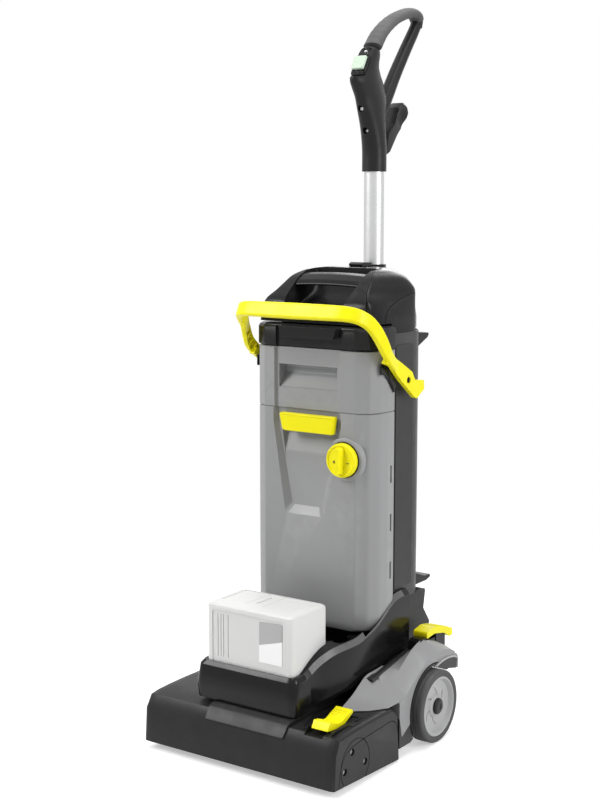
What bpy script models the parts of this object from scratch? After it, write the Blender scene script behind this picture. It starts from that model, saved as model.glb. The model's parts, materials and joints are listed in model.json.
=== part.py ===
"""Compact upright floor scrubber: a brush head on the floor, a pair of rear wheels and an
upright that tilts back about the axle. The upright carries the battery, the tanks and a
telescopic handle.

Machine frame: metres, +Z up, the front looks along -Y, x = 0 is the plane of symmetry.
Lengths along Y are counted back from the lower front edge of the brush head; the empty
"machine" then moves the whole assembly so that the origin lies under its middle.
"""
import bpy
import bmesh
from math import cos, sin, tan, pi, radians
from mathutils import Matrix, Vector

# ---- driving dimensions -----------------------------------------------------------------
GAP = 0.0003                 # play between neighbouring pieces
RUN = 0.0005                 # play of a turning or sliding fit
WALL = 0.003                 # wall of a moulded shell
LENGTH = 0.5065               # head front to the back of the handle loop
HEAD_HALF = 0.1725           # half the width of the brush head
HEAD_DEPTH = 0.178
HEAD_TOP = 0.088
SKIRT = 0.012                # height of the head's lower edge at the front
SKIRT_BACK = 0.003           # and at the back
COVER_THICK = 0.012          # end covers of the brush head
ROLLER_R = 0.034
ROLLER_Y = 0.086
AXLE_Y, AXLE_Z = 0.278, 0.0565
AXLE_R = 0.006
WHEEL_R = 0.0565
WHEEL_IN, WHEEL_OUT = 0.156, 0.184
ARCH_R = 0.0620
CHEEK_IN = 0.1180            # inner faces of the base on both sides of the upright
WING_OUT = 0.1150            # outer faces of the upright's cradle
COLUMN_HALF = 0.104
COLUMN_FRONT, COLUMN_REAR = 0.262, 0.396
COLUMN_LOW, COLUMN_TOP = 0.2110, 0.6280
TANK_FRONT, TANK_REAR = 0.190, 0.2585
TANK_HALF = 0.112
TANK_TIP_Y = 0.212           # line that the tanks lean forward on
TANK_BOTTOM, TANK_SEAM, TANK_TOP, LID_TOP = 0.178, 0.5125, 0.606, 0.6415
BATTERY_HALF = 0.0775
BATTERY_FRONT, BATTERY_BACK = 0.034, 0.127
BATTERY_MID = (BATTERY_FRONT + BATTERY_BACK) / 2
BATTERY_BOTTOM, BATTERY_TOP = 0.104, 0.237
TUBE_Y, TUBE_R = 0.371, 0.0160
TUBE_LOW, TUBE_HIGH = 0.420, 0.960
COLLAR_LOW, COLLAR_TOP = 0.7208, 0.7262
BAIL_Y, BAIL_Z = 0.277, 0.558
KNOB_X, KNOB_Z = 0.066, 0.443
KNOB_R = 0.026
ROCKER_Y, ROCKER_Z = 0.053, 0.0890
PEDAL_Y, PEDAL_Z = 0.303, 0.155
MOTOR_Y, MOTOR_Z = 0.2030, 0.0340

STEEL = ((0.55, 0.56, 0.58), 0.32, 1.0)
ALUMINIUM = ((0.80, 0.81, 0.82), 0.30, 1.0)
CHARCOAL = ((0.055, 0.055, 0.057), 0.45, 0.0)
BLACK = ((0.018, 0.018, 0.019), 0.35, 0.0)
GREY = ((0.27, 0.27, 0.275), 0.42, 0.0)
PALE = ((0.80, 0.80, 0.80), 0.40, 0.0)
YELLOW = ((0.90, 0.80, 0.02), 0.38, 0.0)
RUBBER = ((0.06, 0.06, 0.06), 0.75, 0.0)
BRISTLE = ((0.70, 0.42, 0.08), 0.80, 0.0)
HOSE = ((0.10, 0.10, 0.11), 0.55, 0.0)
GREEN_BOARD = ((0.03, 0.20, 0.08), 0.50, 0.0)

for old in list(bpy.data.objects):
    bpy.data.objects.remove(old, do_unlink=True)


# ---- outlines ---------------------------------------------------------------------------
def arc(centre, radius, start, end, steps):
    """Points of an arc, angles in degrees, both ends included."""
    turn = [radians(start + (end - start) * i / steps) for i in range(steps + 1)]
    return [(centre[0] + radius * cos(a), centre[1] + radius * sin(a)) for a in turn]


def circle(centre, radius, steps):
    return arc(centre, radius, 0, 360, steps)[:-1]


def rounded(points, radius, steps=3):
    """Rounds each corner of a closed outline; radius is one value or one for each corner."""
    radii = radius if isinstance(radius, (list, tuple)) else [radius] * len(points)
    outline = []
    for i, (point, r) in enumerate(zip(points, radii)):
        here = Vector(point)
        to_last = Vector(points[i - 1]) - here
        to_next = Vector(points[(i + 1) % len(points)]) - here
        if r == 0:
            outline.append(tuple(here))
            continue
        half = to_last.angle(to_next) / 2
        reach = min(r / tan(half), to_last.length / 2, to_next.length / 2)
        first = here + to_last.normalized() * reach
        last = here + to_next.normalized() * reach
        for k in range(steps + 1):
            t = k / steps
            outline.append(tuple(first * (1 - t) ** 2 + here * 2 * t * (1 - t) + last * t ** 2))
    return outline


def mirrored(half):
    """Closes an outline that is given for x >= 0 only, from the front to the rear."""
    return half + [(-x, y) for x, y in reversed(half)]


# ---- solids -----------------------------------------------------------------------------
AXES = {"x": (1, 2, 0), "y": (0, 2, 1), "z": (0, 1, 2)}


def to_space(point, axis, along):
    first, second, third = AXES[axis]
    place = [0.0, 0.0, 0.0]
    place[first], place[second], place[third] = point[0], point[1], along
    return Vector(place)


def bridge(rings, closed=False):
    """One solid through a row of rings with equal counts, capped unless it closes on itself."""
    bm = bmesh.new()
    loops = [[bm.verts.new(p) for p in ring] for ring in rings]
    count = len(loops[0])
    pairs = list(zip(loops, loops[1:])) + ([(loops[-1], loops[0])] if closed else [])
    for low, high in pairs:
        for i in range(count):
            j = (i + 1) % count
            bm.faces.new((low[i], low[j], high[j], high[i]))
    if not closed:
        bm.faces.new(loops[0])
        bm.faces.new(loops[-1])
    bmesh.ops.recalc_face_normals(bm, faces=bm.faces)
    return bm


def prism(outline, axis, low, high):
    return loft([outline, outline], axis, [low, high])


def box(x, y, z):
    return prism([(x[0], y[0]), (x[1], y[0]), (x[1], y[1]), (x[0], y[1])], "z", z[0], z[1])


def loft(outlines, axis, places):
    return bridge([[to_space(p, axis, a) for p in line] for line, a in zip(outlines, places)])


def turned(profile, axis, centre, steps=24):
    """A turned solid. The profile is a closed list of (radius, place along the axis)."""
    rings = []
    for k in range(steps):
        a = 2 * pi * k / steps
        rings.append([to_space((centre[0] + r * cos(a), centre[1] + r * sin(a)), axis, t)
                      for r, t in profile])
    bm = bridge(rings, closed=True)
    bmesh.ops.remove_doubles(bm, verts=bm.verts, dist=1e-6)
    bmesh.ops.dissolve_degenerate(bm, edges=bm.edges, dist=1e-6)
    bmesh.ops.recalc_face_normals(bm, faces=bm.faces)
    return bm


def disc(axis, centre, radius, low, high, steps=24):
    return prism(circle(centre, radius, steps), axis, low, high)


def hollow(axis, centre, outer, inner, low, high, steps=24):
    return turned([(outer, low), (outer, high), (inner, high), (inner, low)], axis, centre, steps)


def smooth_path(points, steps):
    """Catmull-Rom curve through the points, with the given steps between neighbours."""
    pts = [Vector(p) for p in points]
    pts = [pts[0] * 2 - pts[1]] + pts + [pts[-1] * 2 - pts[-2]]
    path = []
    for a, b, c, d in zip(pts, pts[1:], pts[2:], pts[3:]):
        for k in range(steps):
            t = k / steps
            path.append((b * 2 + (c - a) * t + (a * 2 - b * 5 + c * 4 - d) * t ** 2
                         + (b * 3 - a - c * 3 + d) * t ** 3) / 2)
    return path + [pts[-2]]


def sweep(path, across, half_wide, half_thick, steps=10, power=1.0):
    """A rod along a path. half_wide lies along the direction across, half_thick square to it."""
    rings = []
    for i, place in enumerate(path):
        ahead = path[min(i + 1, len(path) - 1)] - path[max(i - 1, 0)]
        side = Vector(across).normalized()
        up = ahead.cross(side).normalized()
        t = i / (len(path) - 1)
        wide = half_wide(t) if callable(half_wide) else half_wide
        thick = half_thick(t) if callable(half_thick) else half_thick
        ring = []
        for k in range(steps):
            a = 2 * pi * (k + 0.5) / steps
            c, s = cos(a), sin(a)
            c = abs(c) ** power * (1 if c > 0 else -1)
            s = abs(s) ** power * (1 if s > 0 else -1)
            ring.append(place + side * wide * c + up * thick * s)
        rings.append(ring)
    return bridge(rings)


# ---- booleans ---------------------------------------------------------------------------
def as_object(bm, name="tool"):
    mesh = bpy.data.meshes.new(name)
    bm.to_mesh(mesh)
    bm.free()
    obj = bpy.data.objects.new(name, mesh)
    bpy.context.scene.collection.objects.link(obj)
    return obj


def combine(bm, tools, operation):
    """Applies exact booleans one after another and gives back the result as a bmesh."""
    target = as_object(bm)
    for tool_bm in tools:
        tool = as_object(tool_bm)
        change = target.modifiers.new("change", "BOOLEAN")
        change.operation = operation
        change.solver = "EXACT"
        change.object = tool
        bpy.context.view_layer.update()
        shape = target.evaluated_get(bpy.context.evaluated_depsgraph_get())
        result = bpy.data.meshes.new_from_object(shape)
        target.modifiers.clear()
        target.data = result
        bpy.data.objects.remove(tool, do_unlink=True)
    out = bmesh.new()
    out.from_mesh(target.data)
    bpy.data.objects.remove(target, do_unlink=True)
    bmesh.ops.remove_doubles(out, verts=out.verts, dist=1e-6)
    bmesh.ops.dissolve_limit(out, angle_limit=radians(0.5), verts=out.verts, edges=out.edges)
    return out


def cut(bm, *tools):
    return combine(bm, tools, "DIFFERENCE")


def join(bm, *tools):
    return combine(bm, tools, "UNION")


def meet(bm, *tools):
    return combine(bm, tools, "INTERSECT")


def flipped(bm):
    """The same solid for the other side of the machine."""
    bmesh.ops.scale(bm, vec=(-1, 1, 1), verts=bm.verts)
    bmesh.ops.reverse_faces(bm, faces=bm.faces)
    return bm


# ---- pivots and nodes -------------------------------------------------------------------
PLACES = {}


def pivot(name, place, parent=None):
    """An empty on a joint's axis. What moves about that axis is parented to it."""
    empty = bpy.data.objects.new(name, None)
    empty.empty_display_size = 0.03
    bpy.context.scene.collection.objects.link(empty)
    start = Vector((0, 0, 0))
    if parent:
        empty.parent = bpy.data.objects[parent]
        start = PLACES[parent]
    empty.location = Vector(place) - start
    PLACES[name] = Vector(place)


def finish_material(name, look):
    colour, roughness, metallic = look
    mat = bpy.data.materials.new(name)
    mat.use_nodes = True
    shader = mat.node_tree.nodes["Principled BSDF"]
    shader.inputs["Base Color"].default_value = (*colour, 1)
    shader.inputs["Roughness"].default_value = roughness
    shader.inputs["Metallic"].default_value = metallic
    mat.diffuse_color = (*colour, 1)
    return mat


def node(name, bm, look, holder="machine"):
    """Stores one named solid, built in machine coordinates, under the pivot that carries it."""
    bmesh.ops.translate(bm, vec=-PLACES[holder], verts=bm.verts)
    bmesh.ops.triangulate(bm, faces=[f for f in bm.faces if len(f.verts) > 4])
    obj = as_object(bm, name)
    obj.parent = bpy.data.objects[holder]
    obj.data.materials.append(finish_material(name, look))
    obj.data.shade_smooth()
    obj.data.set_sharp_from_angle(angle=radians(35))
    return obj


pivot("machine", (0, 0, 0))
pivot("roller_pivot", (0, ROLLER_Y, ROLLER_R), "machine")
pivot("rotor_pivot", (0, MOTOR_Y, MOTOR_Z), "machine")
pivot("wheel_left_pivot", (-WHEEL_IN, AXLE_Y, AXLE_Z), "machine")
pivot("wheel_right_pivot", (WHEEL_IN, AXLE_Y, AXLE_Z), "machine")
pivot("front_bar_pivot", (0, 0.026, SKIRT), "machine")
pivot("rear_bar_pivot", (0, 0.152, SKIRT), "machine")
pivot("rocker_pivot", (0.136, ROCKER_Y, ROCKER_Z), "machine")
pivot("pedal_pivot", (0.138, PEDAL_Y, PEDAL_Z), "machine")
pivot("upright_pivot", (0, AXLE_Y, AXLE_Z), "machine")
pivot("battery_pivot", (0, BATTERY_MID, BATTERY_BOTTOM), "upright_pivot")
pivot("tank_pivot", (0, TANK_TIP_Y, TANK_BOTTOM), "upright_pivot")
pivot("release_pivot", (0, TANK_FRONT, 0.492), "tank_pivot")
pivot("knob_pivot", (KNOB_X, TANK_FRONT, KNOB_Z), "tank_pivot")
pivot("bail_pivot", (0, BAIL_Y, BAIL_Z), "tank_pivot")
pivot("tube_pivot", (0, TUBE_Y, TUBE_LOW), "upright_pivot")
pivot("latch_pivot", (0, 0.345, 0.7268), "upright_pivot")
pivot("switch_pivot", (0, 0.326, 1.037), "tube_pivot")


# ---- brush head -------------------------------------------------------------------------
HEAD_SIDE = ([(0.0, SKIRT), (0.004, 0.064)] + arc((0.030, 0.058), 0.026, 165, 115, 4)
             + [(0.058, HEAD_TOP - 0.001), (0.090, HEAD_TOP), (0.146, HEAD_TOP)]
             + arc((0.150, 0.064), 0.024, 80, 15, 4) + [(HEAD_DEPTH, SKIRT_BACK)])


def inset_outline(outline, amount, floor):
    """An outline shrunk by a constant distance, open to below the given floor."""
    count = len(outline)
    moved = []
    for i, point in enumerate(outline):
        before = Vector(outline[i - 1])
        after = Vector(outline[(i + 1) % count])
        run = (after - before).normalized()
        moved.append(Vector(point) + Vector((run.y, -run.x)) * amount)
    moved[0] = Vector((outline[0][0] + amount, floor))
    moved[-1] = Vector((outline[-1][0] - amount, floor))
    return [tuple(p) for p in moved]


def build_head():
    inner_half = HEAD_HALF - COVER_THICK - GAP
    shell = prism(HEAD_SIDE, "x", -inner_half, inner_half)
    reach = inner_half + 0.01
    room = prism(inset_outline(HEAD_SIDE, WALL + 0.001, -0.01), "x", -reach, reach)
    belt_slot = box((-0.1575, -0.1435), (0.165, 0.190), (0.020, 0.075))
    shell = cut(shell, room, belt_slot)
    rocker_pad = box((0.1120, 0.1580), (0.0200, 0.0960), (0.0760, 0.0850))
    rocker_room = box((0.1155, 0.1555), (0.0100, 0.0925), (0.0795, 0.1000))
    node("head_housing", cut(join(shell, rocker_pad), rocker_room), CHARCOAL)
    for name, side in (("end_cover_left", -1), ("end_cover_right", 1)):
        small = [(0.004 + y * 0.975, z if z <= SKIRT else z - 0.003) for y, z in HEAD_SIDE]
        places = [HEAD_HALF - COVER_THICK, HEAD_HALF - 0.005, HEAD_HALF]
        cover = loft([HEAD_SIDE, HEAD_SIDE, small], "x", places)
        if side > 0:
            pin = disc("x", (ROLLER_Y, ROLLER_R), 0.0080, 0.146, 0.165, 20)
            cover = join(cover, pin)
        else:
            bore = disc("x", (ROLLER_Y, ROLLER_R), 0.0060 + RUN, 0.150, 0.1675, 20)
            cover = flipped(cut(cover, bore))
        node(name, cover, CHARCOAL)
    plate = box((-0.030, 0.086), (0.030, 0.085), (HEAD_TOP + GAP, HEAD_TOP + 0.0022))
    node("channel_cover", plate, CHARCOAL)
    water_bar = box((-0.130, 0.108), (0.079, 0.093), (0.0725, 0.0800))
    node("water_bar", water_bar, HOSE)


def build_roller():
    left, right = -0.1395, 0.1450
    profile = [(0.0, left), (ROLLER_R - 0.001, left), (ROLLER_R, left + 0.002),
               (ROLLER_R, right - 0.002), (ROLLER_R - 0.001, right), (0.0, right)]
    roller = turned(profile, "x", (ROLLER_Y, ROLLER_R), 28)
    bore = disc("x", (ROLLER_Y, ROLLER_R), 0.0080 + RUN, 0.120, 0.160, 20)
    drive_bore = disc("x", (ROLLER_Y, ROLLER_R), 0.0070, -0.150, -0.120, 6)
    node("brush_roller", cut(roller, bore, drive_bore), BRISTLE, "roller_pivot")
    pulley = turned([(0.0, -0.1660), (0.0060, -0.1660), (0.0060, -0.1575), (0.0200, -0.1575),
                     (0.0200, -0.1565), (0.0180, -0.1560), (0.0180, -0.1480), (0.0200, -0.1475),
                     (0.0200, -0.1465), (0.0090, -0.1465), (0.0090, -0.1430), (0.0, -0.1430)],
                    "x", (ROLLER_Y, ROLLER_R), 24)
    spigot = disc("x", (ROLLER_Y, ROLLER_R), 0.0066, -0.1445, -0.1220, 6)
    node("roller_pulley", join(pulley, spigot), STEEL, "roller_pivot")


def build_drive():
    motor = turned([(0.0, -0.070), (0.0145, -0.070), (0.0155, -0.068), (0.0155, 0.038), (0.0145, 0.040),
                    (0.0, 0.040)], "x", (MOTOR_Y, MOTOR_Z), 24)
    motor = cut(motor, disc("x", (MOTOR_Y, MOTOR_Z), 0.0040 + RUN, -0.080, -0.030, 16))
    node("brush_motor", motor, STEEL)
    rotor = turned([(0.0, -0.1570), (0.0100, -0.1570), (0.0100, -0.1560), (0.0090, -0.1555),
                    (0.0090, -0.1485), (0.0100, -0.1480), (0.0100, -0.1470), (0.0040, -0.1470),
                    (0.0040, -0.0350), (0.0, -0.0350)], "x", (MOTOR_Y, MOTOR_Z), 20)
    node("motor_pulley", rotor, STEEL, "rotor_pivot")
    span = Vector((MOTOR_Y - ROLLER_Y, MOTOR_Z - ROLLER_R))
    lean = span.angle_signed(Vector((1, 0))) * 180 / pi
    tilt = -lean if span.y < 0 else abs(lean)

    def loop(extra):
        return (arc((ROLLER_Y, ROLLER_R), 0.0183 + extra, 90 + tilt, 270 + tilt, 10)
                + arc((MOTOR_Y, MOTOR_Z), 0.0093 + extra, 270 + tilt, 450 + tilt, 8))
    belt = cut(prism(loop(0.0022), "x", -0.1550, -0.1490), prism(loop(0.0), "x", -0.16, -0.14))
    node("drive_belt", belt, RUBBER)


def build_squeegees():
    bars = (("front", "front_bar_pivot", 0.026), ("rear", "rear_bar_pivot", 0.152))
    for name, holder, y in bars:
        side = [(y - 0.010, 0.020), (y + 0.010, 0.020), (y + 0.008, 0.040), (y - 0.008, 0.040)]
        bar = prism(rounded(side, 0.002, 1), "x", -0.138, 0.138)
        slot = box((-0.2, 0.2), (y - 0.0018, y + 0.0018), (0.0, 0.034))
        node(name + "_squeegee_holder", cut(bar, slot), CHARCOAL, holder)
        blade = box((-0.137, 0.137), (y - 0.0015, y + 0.0015), (0.0004, 0.0336))
        node(name + "_squeegee_blade", blade, RUBBER, holder)


def build_rocker():
    side = [(0.0200, 0.0885), (0.0275, 0.1000), (0.0490, 0.0915), (0.0570, 0.0915), (0.0850, 0.1030),
            (0.0870, 0.0980), (0.0640, 0.0865), (0.0420, 0.0860)]
    node("lift_rocker", prism(side, "x", 0.1220, 0.1495), YELLOW, "rocker_pivot")


# ---- base between the wheels ------------------------------------------------------------
def build_chassis():
    side = [(0.1815, 0.014), (0.214, 0.014), (0.236, 0.026), (0.318, 0.030), (0.330, 0.080),
            (0.330, 0.108), (0.300, 0.126), (0.262, 0.126), (0.222, 0.106), (0.1815, 0.084)]
    side = rounded(side, 0.005, 2)
    cheek_out = 0.1225
    trough = cut(box((-CHEEK_IN - 0.002, CHEEK_IN + 0.002), (0.1815, 0.2310), (0.014, 0.0760)),
                 box((-CHEEK_IN, CHEEK_IN), (0.1845, 0.2280), (0.017, 0.1)))
    right = prism(side, "x", CHEEK_IN, cheek_out)
    left = prism(side, "x", -cheek_out, -CHEEK_IN)
    frame = join(trough, right, left)
    shaft_hole = disc("x", (MOTOR_Y, MOTOR_Z), 0.0060, -0.14, -0.11, 16)
    axle_hole = disc("x", (AXLE_Y, AXLE_Z), AXLE_R + GAP, -0.14, 0.14, 16)
    node("chassis", cut(frame, shaft_hole, axle_hole), CHARCOAL)
    node("motor_cover", box((-0.117, 0.117), (0.1850, 0.2275), (0.0763, 0.0785)), CHARCOAL)
    axle = turned([(0.0, -0.1800), (AXLE_R - 0.001, -0.1800), (AXLE_R, -0.1790), (AXLE_R, 0.1790),
                   (AXLE_R - 0.001, 0.1800), (0.0, 0.1800)], "x", (AXLE_Y, AXLE_Z), 16)
    node("axle", axle, STEEL)
    pump = turned([(0.0, 0.050), (0.012, 0.050), (0.012, 0.095), (0.0, 0.095)], "x",
                  (MOTOR_Y, 0.040), 16)
    node("water_pump", pump, BLACK)


def side_cover_lines():
    """Side outlines of a wheel cover: the outer one, the shoulder and the raised inner one."""
    low = [(0.1815, 0.016), (0.214, 0.016)]
    outer = low + arc((AXLE_Y, AXLE_Z), ARCH_R + 0.0045, 214, 8, 14)
    rear = [(0.352, 0.078), (0.360, 0.092), (0.360, 0.112)]
    top = [(0.352, 0.122), (0.335, 0.130), (0.310, 0.136), (0.285, 0.136),
           (0.255, 0.127), (0.222, 0.108), (0.200, 0.094), (0.1815, 0.086)]
    inner_top = [(0.352, 0.126), (0.335, 0.138), (0.310, 0.152), (0.285, 0.156),
                 (0.250, 0.148), (0.215, 0.128), (0.190, 0.112), (0.1815, 0.098)]
    return outer + rear + top, outer + rear + inner_top


def build_side(side):
    tag = "right" if side > 0 else "left"
    flank, shoulder = side_cover_lines()
    cover = loft([shoulder, shoulder, flank], "x", [0.1228, 0.1400, 0.1705])
    wing = loft([[(0.104, 0.0890), (0.104, 0.0925), (0.1820, 0.112), (0.1825, 0.0890)],
                 [(0.112, 0.0890), (0.112, 0.0905), (0.1820, 0.098), (0.1825, 0.0890)]], "x", [0.1185, 0.158])
    room = prism([(0.187, 0.020), (0.209, 0.020), (0.209, 0.060), (0.218, 0.080),
                  (0.200, 0.080), (0.187, 0.074)], "x", 0.10, 0.166)
    slot = box((0.1240, 0.1520), (0.326, 0.366), (0.100, 0.20))
    seat = box((0.1200, 0.1525), (0.291, 0.390), (0.1490, 0.20))
    cover = cut(join(cover, wing), room, slot, seat)
    if side < 0:
        cover = cut(cover, box((0.1100, 0.1600), (0.170, 0.2190), (0.0200, 0.0580)))
    band = arc((AXLE_Y, AXLE_Z), ARCH_R + 0.0030, 208, 12, 16) + arc((AXLE_Y, AXLE_Z), ARCH_R, 12, 208, 16)
    liner = prism(band, "x", 0.1228, 0.1690)
    node("side_cover_" + tag, cover if side > 0 else flipped(cover), GREY)
    node("arch_liner_" + tag, liner if side > 0 else flipped(liner), CHARCOAL)
    holder = "wheel_%s_pivot" % tag
    centre = (AXLE_Y, AXLE_Z)
    tyre = turned([(0.0465, WHEEL_IN), (0.0530, WHEEL_IN), (WHEEL_R, WHEEL_IN + 0.004),
                   (WHEEL_R, WHEEL_OUT - 0.004), (0.0530, WHEEL_OUT), (0.0465, WHEEL_OUT)], "x", centre, 32)
    rim = turned([(AXLE_R + RUN, WHEEL_IN), (0.0150, WHEEL_IN), (0.0150, 0.1640), (0.0400, 0.1640),
                  (0.0400, WHEEL_IN + 0.001), (0.0462, WHEEL_IN + 0.001), (0.0462, WHEEL_OUT - 0.001),
                  (0.0420, WHEEL_OUT - 0.001), (0.0400, 0.1760), (0.0160, 0.1740), (0.0160, 0.1780),
                  (0.0110, 0.1780), (0.0110, 0.1730), (AXLE_R + RUN, 0.1730)], "x", centre, 32)
    cap = turned([(0.0, 0.1815), (0.0070, 0.1815), (0.0070, 0.1795), (0.0106, 0.1795),
                  (0.0106, 0.1830), (0.0090, 0.1843), (0.0, 0.1846)], "x", centre, 20)
    for name, solid, look in (("tyre_", tyre, RUBBER), ("rim_", rim, GREY), ("hub_cap_", cap, CHARCOAL)):
        node(name + tag, solid if side > 0 else flipped(solid), look, holder)


def build_pedal():
    top = [(0.296, 0.1530), (0.296, 0.1640), (0.318, 0.1680), (0.350, 0.1610), (0.376, 0.1520),
           (0.376, 0.1400), (0.366, 0.1400), (0.350, 0.1500), (0.320, 0.1560)]
    stem = box((0.1290, 0.1460), (0.3330, 0.3580), (0.118, 0.1555))
    pedal = join(prism(top, "x", 0.1255, 0.1500), stem)
    node("release_pedal", pedal, YELLOW, "pedal_pivot")


# ---- upright: cradle, column and hood ---------------------------------------------------
def build_cradle():
    plans = []
    for half, front in ((0.0910, 0.0260), (0.0905, 0.0235), (0.0865, 0.0285)):
        plans.append(rounded([(-half, front), (half, front), (0.091, 0.160), (-0.091, 0.160)], 0.008, 2))
    tray = loft(plans, "z", [0.0925, 0.118, 0.149])
    play = GAP * 2
    pocket = box((-BATTERY_HALF - play, BATTERY_HALF + play),
                 (BATTERY_FRONT - play, BATTERY_BACK + play), (BATTERY_BOTTOM - play, 0.30))
    rising = [(0.050, 0.0960), (0.042, 0.1460), (0.080, 0.1640), (0.112, 0.1760), (0.160, 0.1820),
              (0.205, 0.1960), (0.240, 0.2160), (0.270, 0.2270), (0.300, 0.2270), (0.300, 0.1300),
              (0.200, 0.1180), (0.100, 0.1020)]
    flare = [(0.0800, 0.036), (0.0880, 0.036), (0.0905, 0.060), (0.0960, 0.085), (0.1040, 0.115),
             (0.1100, 0.140), (0.1140, 0.170), (WING_OUT, 0.200), (WING_OUT, 0.310), (0.0850, 0.310)]
    wing = meet(prism(rounded(rising, 0.003, 1), "x", 0.0700, 0.1300), prism(flare, "z", 0.08, 0.25))
    floor = box((-0.090, 0.090), (0.150, 0.270), (0.1300, 0.1450))
    foot = [(0.2650, 0.1300), (0.2650, 0.2100), (0.3740, 0.2100), (0.3680, 0.1780),
            (0.3880, 0.1520), (0.3800, 0.1300), (0.330, 0.1180), (0.3000, 0.1180)]
    block = prism(rounded(foot, 0.004, 2), "x", -0.1010, 0.1010)
    stem = arc((AXLE_Y, AXLE_Z), 0.0260, 180, 360, 8)
    stem += [(0.330, 0.1400), (0.2655, 0.1400), (0.2655, 0.1295), (0.2520, 0.1295)]
    leg = prism(stem, "x", -0.0700, 0.0700)
    axle_bore = disc("x", (AXLE_Y, AXLE_Z), AXLE_R + RUN, -0.2, 0.2, 16)
    left_wing = flipped(wing.copy())
    block_room = box((-0.1013, 0.1013), (0.2647, 0.40), (0.05, 0.30))
    cradle = cut(join(tray, wing, left_wing, floor), block_room)
    block = join(block, leg)
    well = box((-0.085, 0.085), (0.275, 0.355), (0.150, 0.24))
    hose_way = box((-0.020, 0.020), (0.290, 0.330), (0.100, 0.20))
    tank_room = prism(tank_plan(-play), "z", TANK_BOTTOM - play, 0.30)
    tip_side = [(TANK_TIP_Y + 0.002, 0.1774), (0.176, 0.1650), (0.176, 0.30), (0.236, 0.30),
                (0.236, 0.1774)]
    tip_room = prism(tip_side, "x", -TANK_HALF - play * 2, TANK_HALF + play * 2)
    room_plan = column_plan(COLUMN_HALF + play, COLUMN_FRONT - play, COLUMN_REAR + play)
    column_room = prism(room_plan, "z", COLUMN_LOW - GAP, 0.30)
    cradle = cut(cradle, pocket, tank_room, tip_room, column_room.copy())
    node("cradle_frame", cradle, BLACK, "upright_pivot")
    node("pivot_block", cut(block, axle_bore, well, hose_way, column_room), BLACK, "upright_pivot")
    node("battery_dock", box((-0.030, 0.030), (0.1283, 0.1400), (0.1500, 0.1950)), BLACK, "upright_pivot")


def column_plan(half, front, rear):
    return mirrored([(half, front), (half, front + 0.068), (half - 0.006, front + 0.086),
                     (half - 0.024, rear - 0.024), (half - 0.049, rear)])


def build_column():
    low, high = COLUMN_LOW, COLUMN_TOP
    shell = prism(column_plan(COLUMN_HALF, COLUMN_FRONT, COLUMN_REAR), "z", low, high)
    room_plan = column_plan(COLUMN_HALF - 0.004, COLUMN_FRONT + 0.003, COLUMN_REAR - 0.0035)
    room = prism(room_plan, "z", low - 0.01, high + 0.01)
    front_way = box((-0.0950, 0.0950), (COLUMN_FRONT - 0.01, COLUMN_FRONT + 0.02),
                    (low + 0.02, high - 0.02))
    node("column_shell", cut(shell, room, front_way), CHARCOAL, "upright_pivot")
    panel = box((-0.0945, 0.0945), (COLUMN_FRONT + 0.0002, COLUMN_FRONT + 0.0028),
                (low + 0.0205, high - 0.0205))
    node("column_panel", panel, CHARCOAL, "upright_pivot")
    outside = prism(column_plan(COLUMN_HALF + GAP, COLUMN_FRONT, COLUMN_REAR + GAP), "z", 0.1, 0.8)
    upper = [(0.350, 0.590), (0.400, 0.611), (0.404, 0.615), (0.403, 0.619), (0.350, 0.624)]
    lower = [(0.350, 0.2125), (0.405, 0.2125), (0.418, 0.216), (0.418, 0.221), (0.400, 0.222),
             (0.350, 0.240)]
    for name, side in (("rear_hook_upper", upper), ("rear_hook_lower", lower)):
        hook = cut(prism(side, "x", -0.085, 0.085), outside.copy())
        node(name, hook, CHARCOAL, "upright_pivot")


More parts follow.
